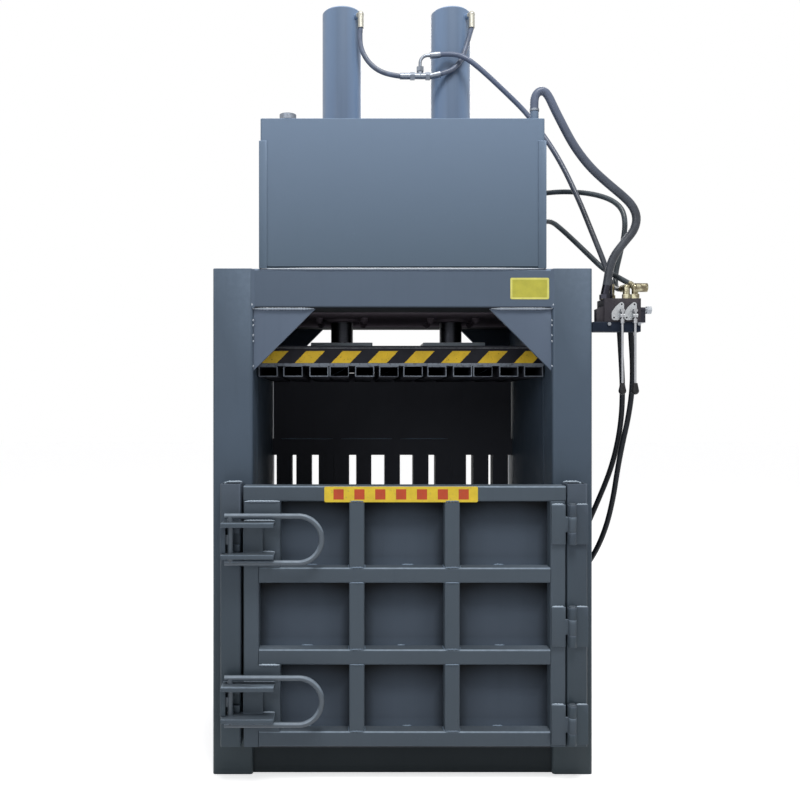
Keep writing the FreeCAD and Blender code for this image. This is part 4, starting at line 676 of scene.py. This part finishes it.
hose_width = 0.022
return_hose_width = 0.034
hose_runs = {
    "hose_cap_left": (hose_width, 0.324, [
        (-0.1639, -0.0841, 3.1650), (-0.168, -0.082, 3.122), (-0.160, -0.085, 3.066),
        (-0.134, -0.090, 3.016), (-0.095, -0.095, 2.976), (-0.042, -0.101, 2.950),
        (0.011, -0.108, 2.940),
    ]),
    "hose_cap_right": (hose_width, 0.277, [
        (0.3321, -0.0841, 3.1650), (0.322, -0.082, 3.130), (0.308, -0.086, 3.082),
        (0.291, -0.092, 3.035), (0.270, -0.098, 2.996), (0.237, -0.104, 2.964),
        (0.189, -0.108, 2.950),
    ]),
    "hose_cap_feed": (hose_width, 1.385, [
        (0.189, -0.108, 3.036), (0.238, -0.118, 3.037), (0.300, -0.136, 3.012),
        (0.372, -0.138, 2.953), (0.464, -0.132, 2.870), (0.580, -0.116, 2.766),
        (0.690, -0.180, 2.570), (0.757, -0.275, 2.355), (0.798, -0.352, 2.180),
        (0.836, -0.396, 2.046), (0.856, -0.400, 1.971),
    ]),
    "hose_rod_side": (hose_width, 1.356, [
        (0.897, -0.406, 1.953), (0.893, -0.366, 1.956), (0.898, -0.325, 1.976),
        (0.905, -0.305, 2.034), (0.920, -0.318, 2.112), (0.930, -0.340, 2.184),
        (0.933, -0.343, 2.246), (0.929, -0.317, 2.300), (0.903, -0.283, 2.343),
        (0.857, -0.239, 2.377), (0.796, -0.192, 2.402), (0.722, -0.138, 2.420),
        (0.640, -0.090, 2.424), (0.556, -0.052, 2.408), (0.480, -0.020, 2.366),
        (0.424, 0.000, 2.300), (0.390, 0.006, 2.215), (0.370, 0.003, 2.118),
        (0.367, 0.000, 2.046),
    ]),
    "hose_pressure": (hose_width, 1.107, [
        (0.340, 0.327, 2.273), (0.390, 0.318, 2.268), (0.462, 0.286, 2.281),
        (0.530, 0.231, 2.295), (0.590, 0.160, 2.306), (0.636, 0.080, 2.312),
        (0.664, -0.005, 2.313), (0.686, -0.086, 2.303), (0.716, -0.152, 2.252),
        (0.762, -0.214, 2.181), (0.812, -0.272, 2.106), (0.852, -0.314, 2.048),
        (0.893, -0.372, 2.006), (0.926, -0.418, 1.972),
    ]),
    "hose_eject_out": (hose_width, 2.583, [
        (0.892, -0.395, 1.788), (0.896, -0.392, 1.735), (0.904, -0.384, 1.645),
        (0.914, -0.367, 1.545), (0.918, -0.344, 1.435), (0.912, -0.312, 1.320),
        (0.892, -0.276, 1.200), (0.856, -0.238, 1.080), (0.820, -0.190, 0.960),
        (0.798, -0.110, 0.850), (0.790, 0.000, 0.770), (0.788, 0.120, 0.718),
        (0.788, 0.240, 0.680), (0.788, 0.350, 0.640), (0.782, 0.452, 0.588),
        (0.758, 0.550, 0.534), (0.710, 0.640, 0.487), (0.636, 0.720, 0.449),
        (0.546, 0.795, 0.421), (0.448, 0.860, 0.401), (0.352, 0.920, 0.387),
        (0.262, 0.972, 0.377), (0.180, 1.004, 0.371), (0.113, 1.013, 0.370),
    ]),
    "hose_eject_back": (hose_width, 2.534, [
        (0.938, -0.395, 1.788), (0.942, -0.392, 1.735), (0.950, -0.384, 1.645),
        (0.953, -0.370, 1.540), (0.942, -0.354, 1.425), (0.920, -0.342, 1.312),
        (0.906, -0.325, 1.205), (0.897, -0.300, 1.090), (0.880, -0.268, 0.970),
        (0.854, -0.220, 0.862), (0.826, -0.150, 0.772), (0.806, -0.062, 0.702),
        (0.798, 0.040, 0.652), (0.796, 0.150, 0.616), (0.796, 0.260, 0.586),
        (0.794, 0.360, 0.555), (0.782, 0.450, 0.520), (0.750, 0.530, 0.485),
        (0.690, 0.590, 0.455), (0.610, 0.625, 0.432), (0.515, 0.640, 0.415),
        (0.415, 0.625, 0.402), (0.320, 0.592, 0.392), (0.240, 0.550, 0.383),
        (0.175, 0.512, 0.375), (0.113, 0.489, 0.370),
    ]),
    "hose_return": (return_hose_width, 1.061, [
        (0.536, -0.430, 2.666), (0.535, -0.430, 2.700), (0.538, -0.430, 2.729),
        (0.554, -0.430, 2.750), (0.578, -0.430, 2.750), (0.596, -0.430, 2.726),
        (0.613, -0.430, 2.688), (0.640, -0.430, 2.634), (0.694, -0.430, 2.530),
        (0.760, -0.430, 2.443), (0.836, -0.430, 2.374), (0.897, -0.430, 2.324),
        (0.936, -0.430, 2.284), (0.953, -0.430, 2.236), (0.940, -0.430, 2.185),
        (0.900, -0.430, 2.138), (0.861, -0.430, 2.088), (0.842, -0.430, 2.040),
        (0.835, -0.430, 2.000), (0.829, -0.430, 1.962),
    ]),
}


def lay_hose(name, width, points):
    """A smooth tube along the points between two fittings, in place of the model's hose."""
    curve = bpy.data.curves.new(name + "_line", "CURVE")
    curve.dimensions = "3D"
    curve.resolution_u = 8
    curve.bevel_depth = width / 2
    curve.bevel_resolution = 5
    curve.use_fill_caps = True
    spline = curve.splines.new("NURBS")
    spline.points.add(len(points) - 1)
    for target, point in zip(spline.points, points):
        target.co = (*point, 1.0)
    spline.order_u = 3
    spline.use_endpoint_u = True
    piece = bpy.data.objects.new(name + "_tube", curve)
    bpy.context.scene.collection.objects.link(piece)
    curve.materials.append(hose_covers[name].material)
    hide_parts(name)
    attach(piece, "frame")


for hose_name, (hose_across, hose_length, hose_points) in hose_runs.items():
    lay_hose(hose_name, hose_across, hose_points)


# Mesh helpers

def finish_piece(name, shape, surface, body):
    """Turns a bmesh into a piece with the surface's material, that rides on a body."""
    data = bpy.data.meshes.new(name)
    shape.to_mesh(data)
    shape.free()
    piece = bpy.data.objects.new(name, data)
    bpy.context.scene.collection.objects.link(piece)
    data.materials.append(surface.material)
    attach(piece, body)


# Welds. A bead starts at weld_end_share of its radius and is full after a sixth of its run.

weld_ring_gap = 0.0035
weld_sides = 8
weld_end_share = 0.35
weld_growth = 4
weld_ripple = 0.16
weld_ripple_turn = 1.9
weld_unevenness = 0.10
weld_wander = 0.12
bead_inset = 0.002


def weld_bead(shape, start, end, radius):
    """One run of weld: a rippled, tapering bead from start to end."""
    start, end = Vector(start), Vector(end)
    run = end - start
    count = max(4, int(run.length / weld_ring_gap))
    along = run.normalized()
    side = along.orthogonal().normalized()
    up = along.cross(side)
    rings = []
    for step in range(count + 1):
        share = step / count
        taper = min(1.0, weld_growth * share + weld_end_share,
                    weld_growth * (1 - share) + weld_end_share)
        ripple = 1 + weld_ripple * math.sin(step * weld_ripple_turn)
        ripple += dice.uniform(-weld_unevenness, weld_unevenness)
        size = radius * taper * ripple
        wander = dice.uniform(-weld_wander, weld_wander) * radius
        centre = start + run * share + side * wander
        rings.append([
            shape.verts.new(
                centre + size * (math.cos(turn) * side + math.sin(turn) * up)
            )
            for turn in (2 * math.pi * k / weld_sides for k in range(weld_sides))
        ])
    for low, high in zip(rings, rings[1:]):
        for k in range(weld_sides):
            face = shape.faces.new((low[k], low[k - 1], high[k - 1], high[k]))
            face.smooth = True
    shape.faces.new(rings[0])
    shape.faces.new(reversed(rings[-1]))


def weld_set(name, runs, surface, body):
    """A named group of beads; each run is (start, end, radius)."""
    shape = bmesh.new()
    for start, end, radius in runs:
        weld_bead(shape, start, end, radius)
    finish_piece(name, shape, surface, body)


# Bead paints are lighter than the enamel as painted highlight; the last two most of all.
weld_paint = paint(
    "weld_paint", shade(enamel, 1.25), shade(enamel_low, 1.35), gloss=0.33, wear=0.8
)
highlight_bead = paint("highlight_bead", (0.21, 0.255, 0.315), gloss=0.33, wear=0.8, dust=0.0)
strong_highlight_bead = paint("strong_highlight_bead", (0.36, 0.42, 0.50), gloss=0.33, wear=0.8, dust=0.0)


def both(runs):
    """Runs and their mirror images in X."""
    def flip(point):
        return -point[0], point[1], point[2]
    return runs + [(flip(start), flip(end), radius) for start, end, radius in runs]


def level_runs(spans, y, z, radius):
    """Runs along X at one height, one for each (left, right)."""
    return [((left, y, z), (right, y, z), radius) for left, right in spans]


def jamb_stitches():
    """Short runs down the seam between each door jamb and its post."""
    stitch, pitch = 0.055, 0.190
    runs = []
    jamb_outer = jamb_high[0]
    z = jamb_low[2] + 0.030
    while z + stitch < jamb_high[2]:
        runs.append(((jamb_outer, post_front, z), (jamb_outer, post_front, z + stitch), 0.005))
        z += pitch
    return both(runs)


def jamb_top_welds():
    """Beads behind the jambs' tops that turn down at the outer end."""
    jamb_outer, _, jamb_top = jamb_high
    jamb_inner = jamb_outer - jamb_width
    corner = (jamb_outer - 0.012, post_front - 0.003, jamb_top + 0.001)
    foot = (jamb_outer - 0.001, post_front - 0.008, jamb_top - 0.012)
    return both([
        ((jamb_inner + 0.004, *corner[1:]), corner, 0.0055),
        (corner, foot, 0.0050),
    ])


def pale_frame_welds():
    """Beads in pale paint, a painted highlight: gusset tops, seam dots and the tank's foot."""
    dot_heights = (1.818, 1.798, 1.758, 1.734, 1.635)
    dot_half = 0.004
    gusset_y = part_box("corner_gussets")[0].y - 0.005
    corner = (inner + 0.001, gusset_y, beam_low)
    runs = [
        ((inner - gusset_leg + 0.006, gusset_y, beam_low), corner, 0.0060),
        (corner, (inner + 0.004, post_front + 0.001, beam_low + 0.020), 0.0045),
    ]
    y = post_front + 0.004
    for z in dot_heights:
        runs.append(((inner, y, z - dot_half), (inner - 0.003, y, z + dot_half), 0.0026))
    foot = [(tank_low[0] + 0.004, tank_high[0] - 0.004)]
    return both(runs) + level_runs(foot, tank_low[1] - 0.001, tank_low[2] - 0.002, 0.0042)


def door_welds():
    """Beads round the short bars' ends, and one at the foot of each sheet pane."""
    pane_gap = 0.006
    runs = []
    y = door_front + 0.0012
    for low, high in zip(rail_lows, rail_lows[1:]):
        for centre in bar_centres:
            left, right = centre - bar / 2, centre + bar / 2
            for z in (low + bar, high):
                runs += level_runs([(left + bead_inset, right - bead_inset)], y, z, 0.0038)
                for x in (left, right):
                    runs.append(((x, y + 0.004, z), (x, panel_front - pane_gap, z), 0.0042))
    bay_sides = (door_left + bar, *bar_centres, door_right - bar)
    for low in rail_lows[:-1]:
        for left, right in zip(bay_sides, bay_sides[1:]):
            middle = (left + right) / 2 + dice.uniform(-0.02, 0.02)
            half = dice.uniform(0.030, 0.048) / 2
            runs += level_runs([(middle - half, middle + half)], panel_front, low + bar, 0.0050)
    return runs


def bright_door_welds():
    """Beads over the stile and latch block, and along the latch brackets' plates."""
    plate_above, plate_below = 0.0685, 0.0525
    block_right = door_left + bar + latch_block_width - bead_inset
    runs = level_runs([(door_left + 0.004, block_right)], door_front, rail_lows[3], 0.0045)
    runs += level_runs([(door_left + bar, block_right)], door_front, rail_lows[1], 0.0045)
    plate = [(door_left + bead_inset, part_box("latch_brackets")[1].x - bead_inset)]
    for middle in latch_middles:
        for z in (middle + plate_above, middle - plate_below):
            runs += level_runs(plate, door_front - 0.004, z, 0.0050)
    return runs


def hinge_welds(left, right):
    """A bead along the top of each of the three hinge leaves between left and right."""
    runs = []
    span = (left + bead_inset, right - bead_inset)
    for z in hinge_tops:
        runs += level_runs([span], door_front - 0.0035, z, 0.0046)
    return runs


def rear_welds():
    """Thin beads along the foot of the upper rear plates."""
    plate_foot = 1.312
    plate_spans = ((-0.556, -0.296), (-0.256, -0.001), (0.039, 0.279))
    return level_runs(plate_spans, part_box("rear_wall")[0].y, plate_foot, 0.0030)


leaf_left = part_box("hinge_leaves_door")[0].x
leaf_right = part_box("hinge_leaves_frame")[1].x
door_leaf_width, frame_leaf_width = 0.051, 0.046

# The jamb top, pale frame, bright door and hinge beads carry the strongest painted highlight.
weld_set("frame_weld_beads", jamb_stitches(), weld_paint, "frame")
weld_set("jamb_top_beads", jamb_top_welds(), highlight_bead, "frame")
weld_set("pale_frame_beads", pale_frame_welds(), strong_highlight_bead, "frame")
weld_set("bright_door_beads", bright_door_welds(), highlight_bead, "door")
weld_set("hinge_frame_beads", hinge_welds(leaf_right - frame_leaf_width, leaf_right),
         highlight_bead, "frame")
weld_set("hinge_door_beads", hinge_welds(leaf_left, leaf_left + door_leaf_width),
         highlight_bead, "door")
weld_set("rear_weld_beads", rear_welds(), weld_paint, "frame")
weld_set("door_weld_beads", door_welds(), weld_paint, "door")


# Thin forms: signs, flush seams and a clamp band

sign_thickness = 0.0006
film_thickness = 0.0003
band_sides = 32


def sign(name, low, high, depth, surface, body):
    """Thin plate with rounded corners, its face towards the front."""
    corner_steps = 4
    shape = bmesh.new()
    radius = min(0.006, (high[1] - low[1]) / 4)
    outline = []
    for cx, cz, start in (
        (high[0] - radius, high[1] - radius, 0), (low[0] + radius, high[1] - radius, 90),
        (low[0] + radius, low[1] + radius, 180), (high[0] - radius, low[1] + radius, 270),
    ):
        for step in range(corner_steps + 1):
            turn = math.radians(start + step * 90 / corner_steps)
            outline.append((cx + radius * math.cos(turn), cz + radius * math.sin(turn)))
    front = [shape.verts.new((x, depth, z)) for x, z in outline]
    back = [shape.verts.new((x, depth + sign_thickness, z)) for x, z in outline]
    shape.faces.new(front)
    shape.faces.new(reversed(back))
    for k in range(len(outline)):
        shape.faces.new((front[k - 1], back[k - 1], back[k], front[k]))
    bmesh.ops.recalc_face_normals(shape, faces=shape.faces)
    finish_piece(name, shape, surface, body)


def films(name, spans, depth, surface, body):
    """Several thin flat films in one piece; each span is (left, right, low, high)."""
    shape = bmesh.new()
    for left, right, low, high in spans:
        corners = ((left, low), (right, low), (right, high), (left, high))
        front = [shape.verts.new((x, depth, z)) for x, z in corners]
        back = [shape.verts.new((x, depth + film_thickness, z)) for x, z in corners]
        shape.faces.new(front)
        for k in range(4):
            shape.faces.new((front[k - 1], back[k - 1], back[k], front[k]))
    bmesh.ops.recalc_face_normals(shape, faces=shape.faces)
    finish_piece(name, shape, surface, body)


def band(name, centre, inner_radius, outer_radius, height, surface, body):
    """Upright clamp band round a hose's end."""
    shape = bmesh.new()
    profile = (
        (outer_radius, 0.0), (outer_radius, height), (inner_radius, height), (inner_radius, 0.0),
    )
    rings = []
    for k in range(band_sides):
        turn = 2 * math.pi * k / band_sides
        rings.append([
            shape.verts.new((centre[0] + radius * math.cos(turn),
                             centre[1] + radius * math.sin(turn), centre[2] + z))
            for radius, z in profile
        ])
    for k in range(band_sides):
        for j in range(4):
            shape.faces.new((rings[k - 1][j - 1], rings[k][j - 1], rings[k][j], rings[k - 1][j]))
    bmesh.ops.recalc_face_normals(shape, faces=shape.faces)
    finish_piece(name, shape, surface, body)


stub_x, stub_y, stub_top = hose_runs["hose_return"][2][0]
band("return_hose_band", (stub_x, stub_y, stub_top + 0.002), 0.0172, 0.0192, 0.009, silver,
     "frame")

seam = 0.007
films(
    "flush_frame_seams",
    [(side * inner - seam, side * inner + seam, beam_low + 0.002, post_top - 0.003)
     for side in (-1, 1)],
    post_front - film_thickness, beam_paint, "frame",
)
films(
    "flush_door_seams",
    [(door_left + bar - seam, door_left + bar + seam, rail_lows[bay] + bar + 0.002,
      rail_lows[bay + 1] - 0.002) for bay in (0, 2)],
    door_front - film_thickness, door_paint, "door",
)
films(
    "tank_foot_shadow",
    [(tank_low[0] + 0.004, -tank_low[0] - 0.004, tank_low[2] + 0.0030, tank_low[2] + 0.0075)],
    tank_low[1] - film_thickness, black_film, "frame",
)


# Plain signs: a strip with seven squares on the door's top rail, and a plate on the head beam

strip_left, strip_right = -0.311, 0.289
strip_low, strip_high = door_high - 0.063, door_high - 0.002
strip_end = 0.015
mark_count = 7
mark_half = 0.020
mark_pitch = (strip_right - strip_left - 2 * strip_end) / mark_count
mark_middle = (strip_low + strip_high) / 2
mark_spans = []
for index in range(mark_count):
    centre = strip_left + strip_end + (index + 0.5) * mark_pitch
    mark_spans.append((
        centre - mark_half, centre + mark_half, mark_middle - mark_half, mark_middle + mark_half,
    ))
mark_lift = 0.0010
sign("door_strip", (strip_left, strip_low), (strip_right, strip_high),
     door_front - sign_thickness, film_yellow, "door")
films("door_strip_marks", mark_spans, door_front - mark_lift, film_red, "door")

plate_left, plate_right, plate_low, plate_high = 0.431, 0.586, 1.902, 1.988
plate_rim = 0.008
plate_lift, field_lift = 0.0008, 0.0011
sign("beam_plate", (plate_left, plate_low), (plate_right, plate_high),
     post_front - plate_lift, film_pale, "frame")
films(
    "beam_plate_field",
    [(plate_left + plate_rim, plate_right - plate_rim,
      plate_low + plate_rim, plate_high - plate_rim)],
    post_front - field_lift, film_olive, "frame",
)


# Stage: pale floor, soft lamps, white world

floor_width = 60
floor_drop = 0.0005
floor_glow = 0.62
room_light = 0.36


def stage_floor():
    """Pale floor that looks white to the camera and keeps the object's shadow."""
    skin = Surface("floor", 0.9)
    grain = skin.noise(3.0, 2.0, 0.5)
    skin.colour(skin.blend((0.86, 0.86, 0.87), (0.90, 0.90, 0.91), grain))
    rays = skin.add("ShaderNodeLightPath")
    seen = skin.math("MAXIMUM", rays.outputs["Is Camera Ray"], rays.outputs["Is Glossy Ray"])
    seen = skin.math("MAXIMUM", seen, rays.outputs["Is Transmission Ray"])
    glow = skin.add("ShaderNodeEmission")
    glow.inputs["Color"].default_value = (1.0, 1.0, 1.0, 1.0)
    skin.join(skin.math("MULTIPLY", seen, floor_glow), glow.inputs["Strength"])
    mix = skin.add("ShaderNodeAddShader")
    skin.join(skin.shader.outputs["BSDF"], mix.inputs[0])
    skin.join(glow.outputs["Emission"], mix.inputs[1])
    output = [n for n in skin.tree.nodes if n.type == "OUTPUT_MATERIAL"][0]
    skin.join(mix.outputs["Shader"], output.inputs["Surface"])
    bpy.ops.mesh.primitive_plane_add(size=floor_width, location=(0, 0, -floor_drop))
    floor = bpy.context.object
    floor.name = "floor"
    floor.data.materials.append(skin.material)


def stage_world():
    """A white room that lights the object less than it shows to the camera."""
    world = bpy.data.worlds.new("white_room")
    bpy.context.scene.world = world
    world.use_nodes = True
    tree = world.node_tree
    tree.nodes.clear()
    output = tree.nodes.new("ShaderNodeOutputWorld")
    rays = tree.nodes.new("ShaderNodeLightPath")
    seen = tree.nodes.new("ShaderNodeMath")
    seen.operation = "MAXIMUM"
    tree.links.new(rays.outputs["Is Camera Ray"], seen.inputs[0])
    mirrored = tree.nodes.new("ShaderNodeMath")
    mirrored.operation = "MAXIMUM"
    tree.links.new(rays.outputs["Is Glossy Ray"], mirrored.inputs[0])
    tree.links.new(rays.outputs["Is Transmission Ray"], mirrored.inputs[1])
    tree.links.new(mirrored.outputs["Value"], seen.inputs[1])
    strength = tree.nodes.new("ShaderNodeMapRange")
    strength.inputs["To Min"].default_value = room_light
    strength.inputs["To Max"].default_value = 1.0
    tree.links.new(seen.outputs["Value"], strength.inputs["Value"])
    background = tree.nodes.new("ShaderNodeBackground")
    background.inputs["Color"].default_value = (1.0, 1.0, 1.0, 1.0)
    tree.links.new(strength.outputs["Result"], background.inputs["Strength"])
    tree.links.new(background.outputs["Background"], output.inputs["Surface"])


def lamp(name, place, aim, size, power, tint=(1.0, 1.0, 1.0)):
    """A soft oblong lamp at place that faces aim."""
    data = bpy.data.lights.new(name, "AREA")
    data.shape = "RECTANGLE"
    data.size, data.size_y = size
    data.energy = power
    data.color = tint
    item = bpy.data.objects.new(name, data)
    item.location = place
    item.rotation_euler = (Vector(aim) - Vector(place)).to_track_quat("-Z", "Y").to_euler()
    bpy.context.scene.collection.objects.link(item)


stage_floor()
stage_world()
lamp("key", (0.5, -2.9, 6.4), (0.1, -0.5, 1.6), (2.4, 1.6), 230.0, (1.0, 0.99, 0.97))
lamp("fill", (-3.2, -4.8, 3.4), (0.0, -0.4, 1.6), (2.8, 2.4), 46.0, (0.94, 0.97, 1.0))
lamp("rim", (0.8, 3.8, 4.6), (0.0, 0.0, 1.8), (2.6, 2.0), 60.0)
